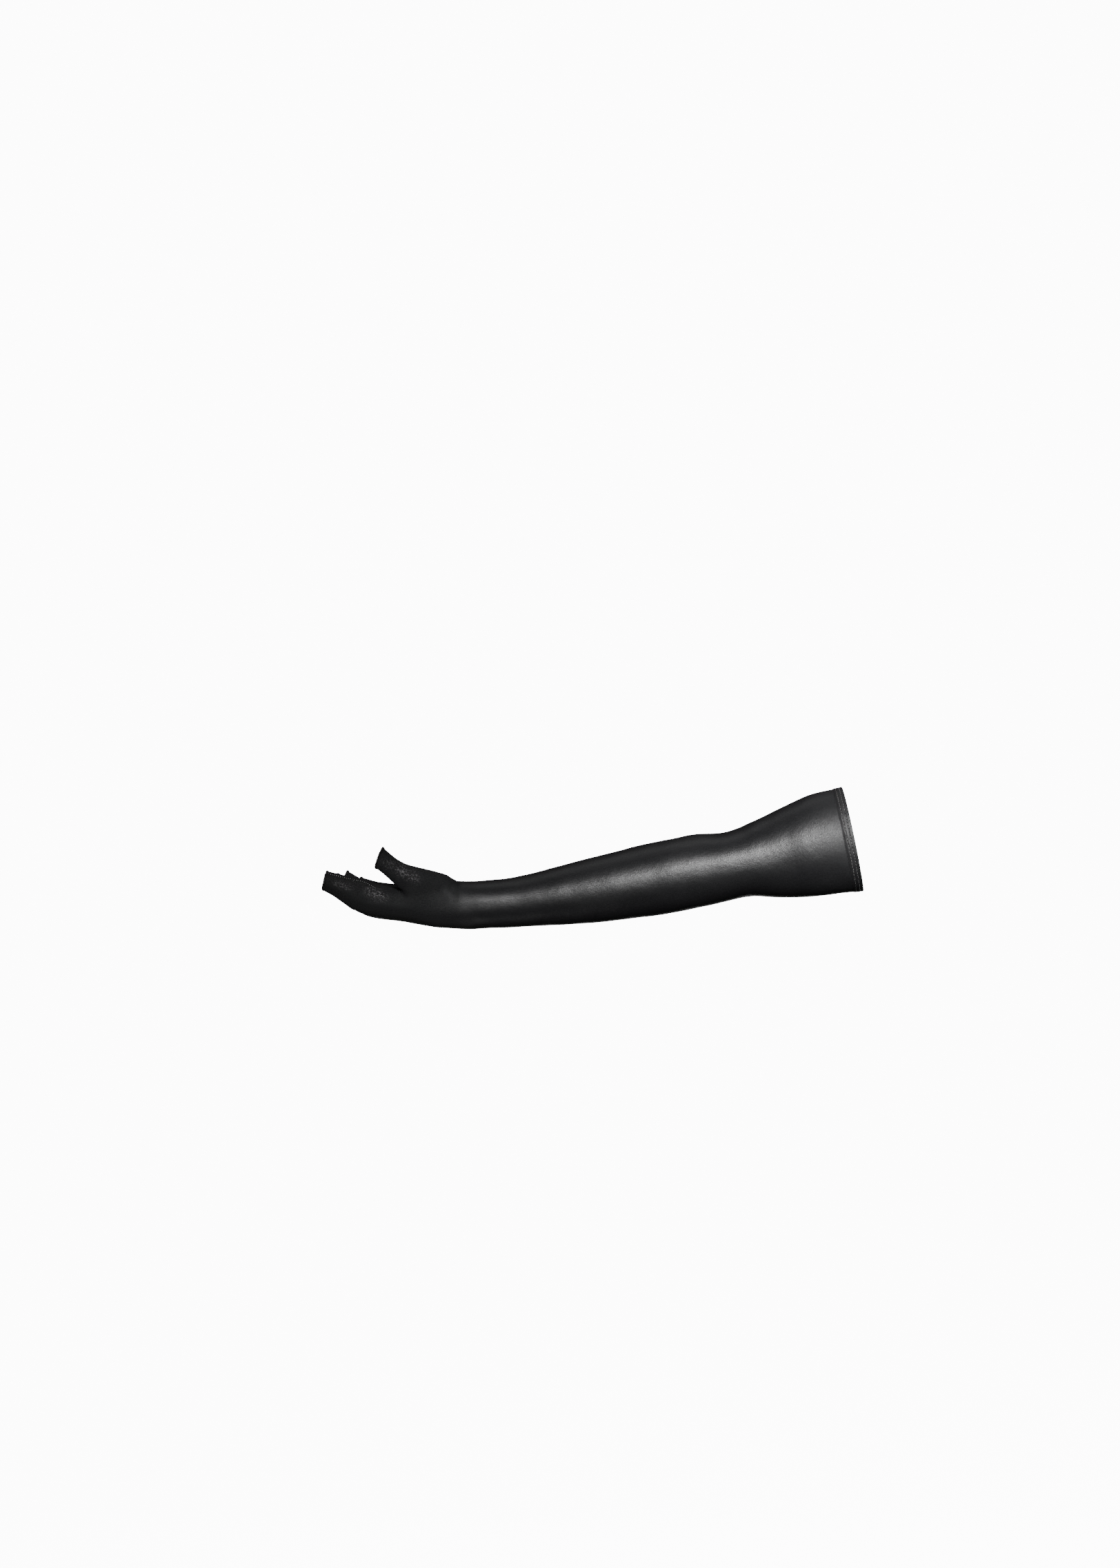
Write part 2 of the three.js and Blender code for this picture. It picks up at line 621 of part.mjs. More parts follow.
function geometryOf(solid) {
  const mesh = solid.getMesh();
  const points = new Float32Array(mesh.numVert * 3);
  for (let i = 0; i < mesh.numVert; i += 1)
    points.set(mesh.vertProperties.subarray(i * mesh.numProp, i * mesh.numProp + 3), i * 3);
  const geometry = new THREE.BufferGeometry();
  geometry.setAttribute("position", new THREE.BufferAttribute(points, 3));
  geometry.setIndex(new THREE.BufferAttribute(new Uint32Array(mesh.triVerts), 1));
  geometry.computeVertexNormals();
  return geometry;
}

const coatedCloth = new THREE.MeshStandardMaterial({ color: 0x17171a, roughness: 0.42, metalness: 0 });
const hemCloth = new THREE.MeshStandardMaterial({ color: 0x141417, roughness: 0.48, metalness: 0 });
const edgeThread = new THREE.MeshStandardMaterial({ color: 0x100f10, roughness: 0.75, metalness: 0 });

const mitten = new THREE.Group();
function add(name, solid, material) {
  const mesh = new THREE.Mesh(geometryOf(solid), material);
  mesh.name = name;
  mitten.add(mesh);
}

const cloth = panels();
cloth.lengths.forEach((length, i) => add("back_panel_" + BACK_LENGTHS[i], length, coatedCloth));
add("palm_panel", cloth.palm, coatedCloth);

const hemMiddle = HEM_WIDTH / 2 / SLEEVE_LENGTH;
const hemOutside = HEM_THICKNESS - WALL;
add("arm_hem", band(sleeve, hemMiddle, HEM_WIDTH, -WALL, hemOutside, SLEEVE_SIDES, 8), hemCloth);

for (const digit of digits) {
  const middle = 1 - EDGE_WIDTH / 2 / digit.tube.length;
  const outside = EDGE_THICKNESS - WALL;
  const edge = band(digit.tube, middle, EDGE_WIDTH, -WALL, outside, STALL_SIDES, 6);
  add(digit.name + "_edge", edge, edgeThread);
}

export default mitten;
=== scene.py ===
"""Looks of an evening mitten: a long fingerless glove in black coated stretch cloth.

The cloth is one smooth skin, worked out from the same tables of cross-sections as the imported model:
the level surface of a field that blends the sleeve, the thumb and the four finger stalls. It is cut
along its seams into the back panel and the palm panel. The hem, the overlocked openings and the
stitches are laid on the same tubes. Everything is in metres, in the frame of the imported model.
"""

import logging
import math
from collections.abc import Callable
from dataclasses import dataclass
from enum import Enum

import bmesh
import bpy
import numpy as np
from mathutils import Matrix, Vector

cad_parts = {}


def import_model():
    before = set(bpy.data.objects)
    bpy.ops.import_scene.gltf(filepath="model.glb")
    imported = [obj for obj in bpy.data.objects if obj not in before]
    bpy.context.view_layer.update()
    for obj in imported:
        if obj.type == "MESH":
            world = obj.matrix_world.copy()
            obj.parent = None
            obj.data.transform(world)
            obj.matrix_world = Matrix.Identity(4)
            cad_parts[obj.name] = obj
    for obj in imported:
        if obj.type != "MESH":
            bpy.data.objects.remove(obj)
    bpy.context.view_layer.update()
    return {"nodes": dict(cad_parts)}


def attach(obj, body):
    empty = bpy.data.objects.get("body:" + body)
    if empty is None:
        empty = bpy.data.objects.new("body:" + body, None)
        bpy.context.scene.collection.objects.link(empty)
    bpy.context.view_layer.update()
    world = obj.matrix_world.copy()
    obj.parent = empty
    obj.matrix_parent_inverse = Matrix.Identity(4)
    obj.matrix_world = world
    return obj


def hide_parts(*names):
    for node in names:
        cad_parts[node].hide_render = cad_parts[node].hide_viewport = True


Array = np.ndarray
Shape = tuple[np.ndarray, np.ndarray]

LOG = logging.getLogger("evening_mitten")
MM = 0.001
DEGREE = math.pi / 180

# Cloth, hem and edges, in metres
WALL = 1.2 * MM
HEM_WIDTH = 9 * MM
EDGE_WIDTH = 2.2 * MM

# Worn sizes of the sleeve, the hand and the stalls, in metres
UPPER_ARM = {"length": 0.096, "drop": 0.021, "height": 0.094, "width": 0.086}
FOREARM = {"length": 0.246, "drop": 0.0379, "height": 0.0653, "width": 0.080}
HAND = {"length": 0.102, "rise": 0.0119, "height": 0.043, "width": 0.081}
STALL_LENGTH = 0.0465
STALL_HEIGHT = 0.017
STALL_WIDTH = 0.0173
THUMB_LENGTH = 0.0758
THUMB_HEIGHT = 0.0195
THUMB_WIDTH = 0.019
SLEEVE_LENGTH = UPPER_ARM["length"] + FOREARM["length"] + HAND["length"]
WRIST = (UPPER_ARM["length"] + FOREARM["length"]) / SLEEVE_LENGTH

# Cross-sections: along, fall, height, width, sway, lean, skew and the superellipse's power
UPPER_ARM_ROWS = (
    (0, 0, 1, 1, 0, 11.7, 0, 2.05),
    (0.31, 0.25, 0.97, 0.985, 0.01, 11.5, 0, 2.05),
    (0.46, 0.42, 0.92, 0.97, 0.015, 11, 0, 2.1),
    (0.62, 0.605, 0.851, 0.955, 0.025, 10.5, 0, 2.15),
    (0.74, 0.75, 0.791, 0.95, 0.03, 10.5, 0, 2.2),
    (0.88, 0.88, 0.723, 0.95, 0.035, 10.5, 0, 2.25),
)
FOREARM_ROWS = (
    (0, 0, 0.972, 1.02, 0.042, 10.5, 0, 2.25),
    (0.053, 0.066, 0.948, 1.02, 0.044, 10.5, 0, 2.25),
    (0.15, 0.174, 0.983, 1.01, 0.045, 10, 0, 2.2),
    (0.252, 0.298, 1, 0.995, 0.043, 9.5, 0, 2.2),
    (0.35, 0.42, 0.982, 0.965, 0.038, 9.5, 0, 2.15),
    (0.451, 0.541, 0.94, 0.93, 0.032, 9, 0, 2.15),
    (0.549, 0.652, 0.885, 0.885, 0.026, 8.5, 0, 2.15),
    (0.65, 0.763, 0.813, 0.83, 0.018, 8, 0, 2.15),
    (0.752, 0.866, 0.732, 0.77, 0.01, 6.5, 0, 2.2),
    (0.85, 0.945, 0.675, 0.72, 0.004, 5, 0, 2.25),
    (0.951, 0.99, 0.654, 0.692, 0, 2.5, 0, 2.3),
)
HAND_ROWS = (
    (0, 0, 1, 0.68, 0, 1, 0, 2.35),
    (0.126, -0.033, 0.986, 0.72, 0, 0, 0, 2.4),
    (0.272, -0.043, 0.94, 0.81, 0, -1, 0, 2.45),
    (0.417, -0.144, 0.88, 0.9, 0, -2, 0.02, 2.5),
    (0.563, -0.244, 0.832, 0.965, 0, -3, 0.06, 2.55),
    (0.718, -0.328, 0.774, 1, 0, -5, 0.12, 2.6),
    (0.835, -0.46, 0.725, 1, 0, -9, 0.18, 2.6),
    (0.912, -0.69, 0.665, 0.975, 0, -15, 0.23, 2.5),
    (0.96, -0.9, 0.5, 0.94, 0, -18, 0.25, 2.4),
    (0.985, -0.97, 0.34, 0.9, 0, -20, 0.26, 2.3),
    (1, -1, 0.16, 0.86, 0, -20, 0.26, 2.2),
)

# Folds of the worn sleeve: along, side in degrees, depth over the cloth's thickness, length, spread
FOLDS = (
    (0.25, 350, 0.9, 0.03, 45),
    (0.31, 345, -0.6, 0.03, 50),
    (0.215, 180, 0.7, 0.03, 40),
    (0.52, 300, 0.6, 0.06, 35),
    (0.785, 65, 0.7, 0.02, 25),
    (0.89, 350, 1.8, 0.05, 35),
)

# Stalls: thickness on the way from the knuckle to the opening (along, height, width, bow)
STALL_ROWS = (
    (0, 1.2, 0.9, 0),
    (0.25, 1.62, 1.16, -0.03),
    (0.5, 1.43, 1.17, -0.03),
    (0.75, 1.18, 1.08, 0),
    (1, 1, 1, 0),
)
THUMB_ROWS = (
    (0, 2.15, 1.15, 0.08),
    (0.15, 2, 1.3, 0.15),
    (0.3, 1.77, 1.38, 0.1),
    (0.42, 1.55, 1.36, 0.04),
    (0.57, 1.25, 1.22, -0.02),
    (0.68, 1.04, 1.08, -0.05),
    (0.8, 0.93, 1, -0.05),
    (0.9, 0.93, 0.98, -0.02),
    (1, 1, 1, 0),
)
THUMB_BALL = {"hand": (0.12, 0.5), "across": -0.12, "under": 1.1, "thumb": (0, 0.45)}

# Seams: along the sleeve, the angle on the thumb side and on the little finger's side
ARM_SEAM_ROWS = (
    (0, -12, 190),
    (0.3, -10, 192),
    (0.6, -4, 205),
    (0.775, 8, 240),
    (0.86, 25, 262),
    (1, 55, 270),
)
THUMB_SEAM = 14
LITTLE_SEAM = 270
INDEX_SEAM_DROP = 0.29


@dataclass(frozen=True)
class StallSize:
    """Where a stall starts in the hand, how it points and its sizes over the index finger's.

    Args:
        name: the finger.
        knuckle, across, level: shares of the hand's length, width and height.
        reach: length over STALL_LENGTH.
        pitch, splay, lean: degrees.
        height, width, taper: over the index finger's sizes.
    """

    name: str
    knuckle: float
    across: float
    level: float
    reach: float
    pitch: float
    splay: float
    lean: float
    height: float
    width: float
    taper: float
    turn: float = math.nan


STALLS = (
    StallSize("index", 0.832, -0.364, 0, 1, 21.8, -4, -13, 1, 1, 1),
    StallSize("middle", 0.86, -0.123, 0.01, 0.755, 23.6, -1, -18, 0.97, 0.98, 0.8),
    StallSize("ring", 0.8, 0.117, -0.025, 0.795, 33, 3, -26, 0.91, 0.93, 0.4),
    StallSize("little", 0.695, 0.345, 0.07, 0.69, 21.5, 7, -24, 0.82, 0.85, 0.55),
)
THUMB = StallSize("thumb", 0.22, -0.222, 0.03, 1, 36.1, -22, -20, 1, 1, 1, turn=0.12)


class Part(Enum):
    """The tubes that the skin is blended from, in the order of the field's columns."""

    SLEEVE = 0
    BALL = 1
    THUMB = 2
    INDEX = 3
    MIDDLE = 4
    RING = 5
    LITTLE = 6


def unit(vectors: Array) -> Array:
    """Vectors scaled to length 1.

    Args:
        vectors: (..., 3) array.
    Returns:
        (..., 3) array.
    """
    return vectors / np.maximum(np.linalg.norm(vectors, axis=-1, keepdims=True), 1e-12)


def smooth_min(a: Array, b: Array, reach: float) -> Array:
    """The lower of two fields, rounded where they are closer than reach: min less h squared times a
    quarter of reach, with h the share of reach by which they are closer.

    Args:
        a, b: arrays of distances.
        reach: rounding length.
    Returns:
        array of distances.
    """
    near = np.maximum(reach - np.abs(a - b), 0) / reach
    return np.minimum(a, b) - near * near * reach / 4


def smooth_max(a: Array, b: Array, reach: float) -> Array:
    """The higher of two fields, rounded the same way as smooth_min."""
    return -smooth_min(-a, -b, reach)


class Tube:
    """A tube of superellipse cross-sections on a smooth curve through a table of rows.

    Each column of the table follows a cubic between two rows, with a slope at each row equal to the
    rise between its neighbours over their distance, and runs on straight past both ends. A point of
    the skin at an angle is the centre, plus up times half the height times the cosine to the power
    of 2 over square, plus side times half the width times the sine to the same power. up leans in
    the XZ plane, and side is the thumb's side with a slope of skew.
    """

    def __init__(
        self,
        along: Array,
        values: Array,
        length: float,
        start: float,
        end: float,
        relief: Callable | None = None,
    ) -> None:
        """
        Args:
            along: (n,) shares of the tube's length, rising.
            values: (n, 8) x, y, z, height, width, lean, skew and square.
            length: metres for a share of 1.
            start, end: shares where the solid tube begins and ends.
            relief: function of (share, angle) that gives metres outwards, or None.
        """
        self.along = np.asarray(along, float)
        self.values = np.asarray(values, float)
        self.length = length
        self.start = start
        self.end = end
        self.relief = relief
        self.slopes = self._slopes()
        margin = 0.012 / length
        self.low = start - margin
        self.high = end + margin
        count = int(math.ceil((self.high - self.low) * length / (0.4 * MM))) + 2
        grid = np.linspace(self.low, self.high, count)
        rows = self.row(grid)
        rate = np.gradient(rows[:, :3], grid, axis=0)
        self.table = np.hstack([rows, rate])
        self.step = grid[1] - grid[0]
        skin = self.skin(np.repeat(grid, 24), np.tile(np.arange(24) * 15.0, count))
        self.box = (skin.min(0) - 0.012, skin.max(0) + 0.012)

    def _slopes(self) -> Array:
        """The slope at each row: the rise between its neighbours over their distance."""
        before = np.maximum(np.arange(len(self.along)) - 1, 0)
        after = np.minimum(np.arange(len(self.along)) + 1, len(self.along) - 1)
        rise = self.values[after] - self.values[before]
        return rise / (self.along[after] - self.along[before])[:, None]

    def row(self, t: Array) -> Array:
        """The table's row at shares t.

        Args:
            t: (m,) shares.
        Returns:
            (m, 8) array of x, y, z, height, width, lean, skew and square.
        """
        t = np.asarray(t, float)
        i = np.clip(np.searchsorted(self.along, t, side="left") - 1, 0, len(self.along) - 2)
        span = (self.along[i + 1] - self.along[i])[:, None]
        u = np.clip((t - self.along[i])[:, None] / span, 0, 1)
        past = t[:, None] - (self.along[i][:, None] + u * span)
        first = self.slopes[i] * span
        last = self.slopes[i + 1] * span
        bend = (2 * u - 3) * u * u
        row = self.values[i] * (1 + bend) - self.values[i + 1] * bend
        row += first * u * (1 - u) ** 2 - last * u * u * (1 - u)
        return row + np.where(past < 0, first, last) * past / span

    def quick(self, t: Array) -> Array:
        """Like row, read between the lines of a fine table, with 3 more columns, the centre's rate."""
        place = np.clip((t - self.low) / self.step, 0, len(self.table) - 1.001)
        i = place.astype(int)
        share = (place - i)[:, None]
        return self.table[i] * (1 - share) + self.table[i + 1] * share

    def skin(self, t: Array, angle: Array, outwards: float | Array = 0.0) -> Array:
        """Points of the skin.

        Args:
            t: (m,) shares.
            angle: (m,) degrees from the palm side round by the thumb side.
            outwards: metres out of the skin, one value or (m,).
        Returns:
            (m, 3) array of points.
        """
        t = np.asarray(t, float)
        angle = np.asarray(angle, float)
        row = self.row(t)
        lean = row[:, 5] * DEGREE
        c, s = np.cos(angle * DEGREE), np.sin(angle * DEGREE)
        power = 2 / row[:, 7]
        out = outwards + (self.relief(t, angle) if self.relief else 0)
        rise = (row[:, 3] / 2 + out) * np.sign(c) * np.abs(c) ** power
        wide = (row[:, 4] / 2 + out) * np.sign(s) * np.abs(s) ** power
        flat = np.zeros_like(lean)
        up = np.stack([-np.sin(lean), flat, np.cos(lean)], 1)
        side = np.stack([-row[:, 6], flat - 1, flat], 1)
        return row[:, :3] + up * rise[:, None] + side * wide[:, None]

    def locate(self, points: Array) -> tuple[Array, Array, Array, Array]:
        """Where points lie in the tube: the share whose cross-section's plane holds each point, by
        Newton's rule, and the point's own place in that plane.

        Args:
            points: (m, 3) array.
        Returns:
            (share, rise, wide, row) with share (m,) unlimited, rise and wide in metres, row (m, 11).
        """
        way = self.table[-1, :3] - self.table[0, :3]
        start = self.table[0, :3]
        t = self.low + (points - start) @ way / (way @ way) * (self.high - self.low)
        for _ in range(6):
            t = np.clip(t, self.low, self.high)
            row = self.quick(t)
            lean = row[:, 5] * DEGREE
            sine, cosine = np.sin(lean), np.cos(lean)
            off = points - row[:, :3]
            normal = np.stack([cosine, -cosine * row[:, 6], sine], 1)
            rate = (row[:, 8:11] * normal).sum(1)
            step = (off * normal).sum(1) / rate
            t = t + step
        wide = -off[:, 1]
        rise = -sine * off[:, 0] + cosine * off[:, 2] - wide * row[:, 6] * sine
        return t, rise, wide, row

    def distance(self, points: Array, round_start: float = 0.0) -> tuple[Array, Array]:
        """About how far points lie outside the tube, negative inside: the superellipse's value less
        1 over its slope, and no less than the distance past either end.

        Args:
            points: (m, 3) array.
            round_start: metres by which the start's rim is rounded.
        Returns:
            (distance, share) arrays of m values.
        """
        t, rise, wide, row = self.locate(points)
        tall = np.maximum(row[:, 3] / 2, 1e-4)
        broad = np.maximum(row[:, 4] / 2, 1e-4)
        power = row[:, 7]
        up = np.abs(rise) / tall + 1e-6
        across = np.abs(wide) / broad + 1e-6
        total = up**power + across**power
        value = total ** (1 / power)
        slope = value ** (1 - power) * np.hypot(up ** (power - 1) / tall, across ** (power - 1) / broad)
        out = (value - 1) / slope
        before = (self.start - t) * self.length
        after = (t - self.end) * self.length
        out = smooth_max(out, before, round_start) if round_start else np.maximum(out, before)
        return np.maximum(out, after), t

    def angles(self, points: Array) -> tuple[Array, Array, Array]:
        """The share, angle in degrees and radius of points on or near the skin."""
        t, rise, wide, row = self.locate(points)
        power = row[:, 7] / 2
        up = np.sign(rise) * np.abs(rise / (row[:, 3] / 2)) ** power
        across = np.sign(wide) * np.abs(wide / (row[:, 4] / 2)) ** power
        return t, np.degrees(np.arctan2(across, up)) % 360, np.hypot(rise, wide)


def fold_relief(t: Array, angle: Array) -> Array:
    """The sleeve's folds: each takes its depth times e to the power of less the squared distance
    from its middle, measured along in lengths and around in spreads.

    Args:
        t, angle: arrays of shares and degrees.
    Returns:
        metres outwards.
    """
    relief = np.zeros(np.broadcast(t, angle).shape)
    for along, side, depth, length, spread in FOLDS:
        turn = (angle - side + 540) % 360 - 180
        relief -= depth * WALL * np.exp(-(((t - along) / length) ** 2) - (turn / spread) ** 2)
    return relief


def sleeve_tube() -> Tube:
    """The sleeve and hand as one tube from the arm opening to the webs between the fingers."""
    along, values = [], []
    parts = (
        (UPPER_ARM_ROWS, UPPER_ARM, 0.0, 0.0, UPPER_ARM["drop"]),
        (FOREARM_ROWS, FOREARM, -UPPER_ARM["length"], -UPPER_ARM["drop"], FOREARM["drop"]),
        (HAND_ROWS, HAND, *wrist_point(), HAND["rise"]),
    )
    for table, size, x, z, fall in parts:
        rows = np.array(table, float)
        here = x - rows[:, 0] * size["length"]
        along.append(-here / SLEEVE_LENGTH)
        columns = (here, rows[:, 4] * size["width"], z - rows[:, 1] * fall, rows[:, 2] * size["height"])
        values.append(np.stack([*columns, rows[:, 3] * size["width"], *rows[:, 5:8].T], 1))
    start = -4 * MM / SLEEVE_LENGTH
    return Tube(np.hstack(along), np.vstack(values), SLEEVE_LENGTH, start, 1.0, fold_relief)


def wrist_point() -> tuple[float, float]:
    """X and Z of the middle of the wrist."""
    return -UPPER_ARM["length"] - FOREARM["length"], -UPPER_ARM["drop"] - FOREARM["drop"]


def stall_tube(
    sleeve: Tube, spec: StallSize, table: tuple, length: float, height: float, width: float
) -> Tube:
    """The tube of a finger or thumb stall.

    Args:
        sleeve: the sleeve's Tube, which the stall starts in.
        spec: its StallSize.
        table: rows of along, height, width and bow.
        length, height, width: metres.
    Returns:
        Tube from the knuckle to 2 mm past the opening.
    """
    share = (UPPER_ARM["length"] + FOREARM["length"] + spec.knuckle * HAND["length"]) / SLEEVE_LENGTH
    root = sleeve.row(np.array([share]))[0]
    start = np.array([root[0], spec.across * HAND["width"], root[2] + spec.level * HAND["height"]])
    pitch, splay = spec.pitch * DEGREE, spec.splay * DEGREE
    level = math.cos(splay)
    way = np.array([-math.cos(pitch) * level, math.sin(splay), math.sin(pitch) * level])
    turn = -math.tan(splay)
    last = turn if math.isnan(spec.turn) else spec.turn
    rows = np.array(table, float)
    along = rows[:, 0]
    values = np.zeros((len(rows), 8))
    values[:, :3] = start + way * length * along[:, None]
    values[:, 2] += rows[:, 3] * height
    values[:, 3] = height * (1 + (rows[:, 1] - 1) * spec.taper)
    values[:, 4] = width * rows[:, 2]
    values[:, 5] = -spec.pitch + (spec.pitch + spec.lean) * along**2
    values[:, 6] = turn + (last - turn) * along
    values[:, 7] = 2.1
    return Tube(along, values, length, 0.0, 1 + 2 * MM / length)


class Hull:
    """The convex ball of the thumb, as the highest of its faces' planes."""

    def __init__(self, sleeve: Tube, thumb: Tube) -> None:
        """
        Args:
            sleeve, thumb: the two Tubes that it bridges.
        """
        a, b = ((UPPER_ARM["length"] + FOREARM["length"] + s * HAND["length"]) / SLEEVE_LENGTH
                for s in THUMB_BALL["hand"])
        stations, turns = np.meshgrid(np.linspace(a, b, 14), np.arange(0, 360, 6.0), indexing="ij")
        middle = (2 * stations.ravel() - a - b) / (b - a)
        under = THUMB_BALL["under"] * WALL * (0.85 + 1.6 * middle**2)
        hand = sleeve.skin(stations.ravel(), turns.ravel(), -under)
        hand = hand[hand[:, 1] < THUMB_BALL["across"] * HAND["width"]]
        stations = np.linspace(*THUMB_BALL["thumb"], 12)
        stations, turns = np.meshgrid(stations, np.arange(0, 360, 9.0), indexing="ij")
        under = (0.35 + 7.5 * stations.ravel() ** 2) * MM
        ball = thumb.skin(stations.ravel(), turns.ravel(), -under)
        self.normals, self.offsets = self._planes(np.vstack([hand, ball]))
        points = np.vstack([hand, ball])
        self.box = (points.min(0) - 0.012, points.max(0) + 0.012)

    @staticmethod
    def _planes(points: Array) -> tuple[Array, Array]:
        """The planes of the faces of the points' convex hull, turned outwards.

        Args:
            points: (n, 3) array.
        Returns:
            (normals (m, 3), offsets (m,)): a point of a face times its normal gives its offset.
        """
        cloud = bpy.data.meshes.new("thumb_ball_points")
        cloud.from_pydata(points, [], [])
        mesh = bmesh.new()
        mesh.from_mesh(cloud)
        bpy.data.meshes.remove(cloud)
        bmesh.ops.convex_hull(mesh, input=mesh.verts)
        mesh.normal_update()
        faces = [(*face.normal, face.calc_center_median().dot(face.normal)) for face in mesh.faces]
        mesh.free()
        planes = np.array(faces)
        middle = points.mean(0)
        inward = planes[:, :3] @ middle > planes[:, 3]
        planes[inward] *= -1
        return planes[:, :3], planes[:, 3]

    def distance(self, points: Array) -> Array:
        """Distance outside the ball, negative inside.

        Args:
            points: (m, 3) array.
        Returns:
            (m,) array.
        """
        out = np.empty(len(points))
        for first in range(0, len(points), 40000):
            part = points[first : first + 40000]
            out[first : first + 40000] = (part @ self.normals.T - self.offsets).max(1)
        return out


class Skin:
    """The field of the whole mitten: how far a point lies outside the cloth's outer face."""

    FAR = 0.02

    def __init__(self) -> None:
        """Lays out the sleeve, the thumb, its ball and the four stalls."""
        self.sleeve = sleeve_tube()
        self.thumb = stall_tube(self.sleeve, THUMB, THUMB_ROWS, THUMB_LENGTH, THUMB_HEIGHT, THUMB_WIDTH)
        self.stalls = [
            stall_tube(
                self.sleeve,
                spec,
                STALL_ROWS,
                STALL_LENGTH * spec.reach,
                STALL_HEIGHT * spec.height,
                STALL_WIDTH * spec.width,
            )
            for spec in STALLS
        ]
        self.ball = Hull(self.sleeve, self.thumb)
        self.digits = [self.thumb, *self.stalls]

    def parts(self, points: Array) -> Array:
        """Distances to each part, far ones cut short.

        Args:
            points: (m, 3) array.
        Returns:
            (m, 7) array in the order of Part.
        """
        out = np.full((len(points), len(Part)), self.FAR)
        out[:, Part.SLEEVE.value] = self._near(self.sleeve, points, 0.0)
        inside = ((points > self.ball.box[0]) & (points < self.ball.box[1])).all(1)
        out[inside, Part.BALL.value] = self.ball.distance(points[inside])
        for column, tube in enumerate(self.digits, Part.THUMB.value):
            out[:, column] = self._near(tube, points, 4 * MM)
        return out

    def _near(self, tube: Tube, points: Array, round_start: float) -> Array:
        """Distances to a tube, worked out only in its box and FAR elsewhere.

        Args:
            tube: the Tube.
            points: (m, 3) array.
            round_start: metres by which its start's rim is rounded.
        Returns:
            (m,) array.
        """
        out = np.full(len(points), self.FAR)
        inside = ((points > tube.box[0]) & (points < tube.box[1])).all(1)
        if inside.any():
            out[inside] = tube.distance(points[inside], round_start)[0]
        return out

    def blend(self, parts: Array) -> Array:
        """The blended field from the parts' distances.

        Args:
            parts: (m, 7) array.
        Returns:
            (m,) array.
        """
        hand = smooth_min(parts[:, Part.SLEEVE.value], parts[:, Part.BALL.value], 5 * MM)
        hand = smooth_min(hand, parts[:, Part.THUMB.value], 2.5 * MM)
        fingers = parts[:, Part.INDEX.value]
        for column in (Part.MIDDLE, Part.RING, Part.LITTLE):
            fingers = smooth_min(fingers, parts[:, column.value], 1.6 * MM)
        return smooth_min(hand, fingers, 3 * MM)

    def value(self, points: Array) -> Array:
        """The field at points, in slices to keep memory low."""
        out = np.empty(len(points))
        for first in range(0, len(points), 200000):
            part = slice(first, first + 200000)
            out[part] = self.blend(self.parts(points[part]))
        return out

    def value_and_slope(self, points: Array, step: float = 0.25 * MM) -> tuple[Array, Array]:
        """The field and its gradient, from four values at the corners of a small tetrahedron.

        Args:
            points: (m, 3) array.
            step: metres from the point to a corner along each axis.
        Returns:
            (value (m,), gradient (m, 3)).
        """
        corners = np.array([[1, -1, -1], [-1, -1, 1], [-1, 1, -1], [1, 1, 1]], float)
        values = [self.value(points + corner * step) for corner in corners]
        slope = sum(corner * value[:, None] for corner, value in zip(corners, values)) / (4 * step)
        return sum(values) / 4, slope

    def settle(self, points: Array, rounds: int = 1) -> tuple[Array, Array]:
        """Moves points onto the skin: each step goes back along the gradient by the field's value
        over the gradient's squared length.

        Args:
            points: (m, 3) array near the skin.
            rounds: number of steps.
        Returns:
            (points, unit normals).
        """
        slope = None
        for _ in range(rounds):
            value, slope = self.value_and_slope(points)
            square = np.maximum((slope * slope).sum(1), 0.2)
            step = np.clip(value / square, -1.5 * MM, 1.5 * MM)
            points = points - slope * step[:, None]
        return points, unit(slope)


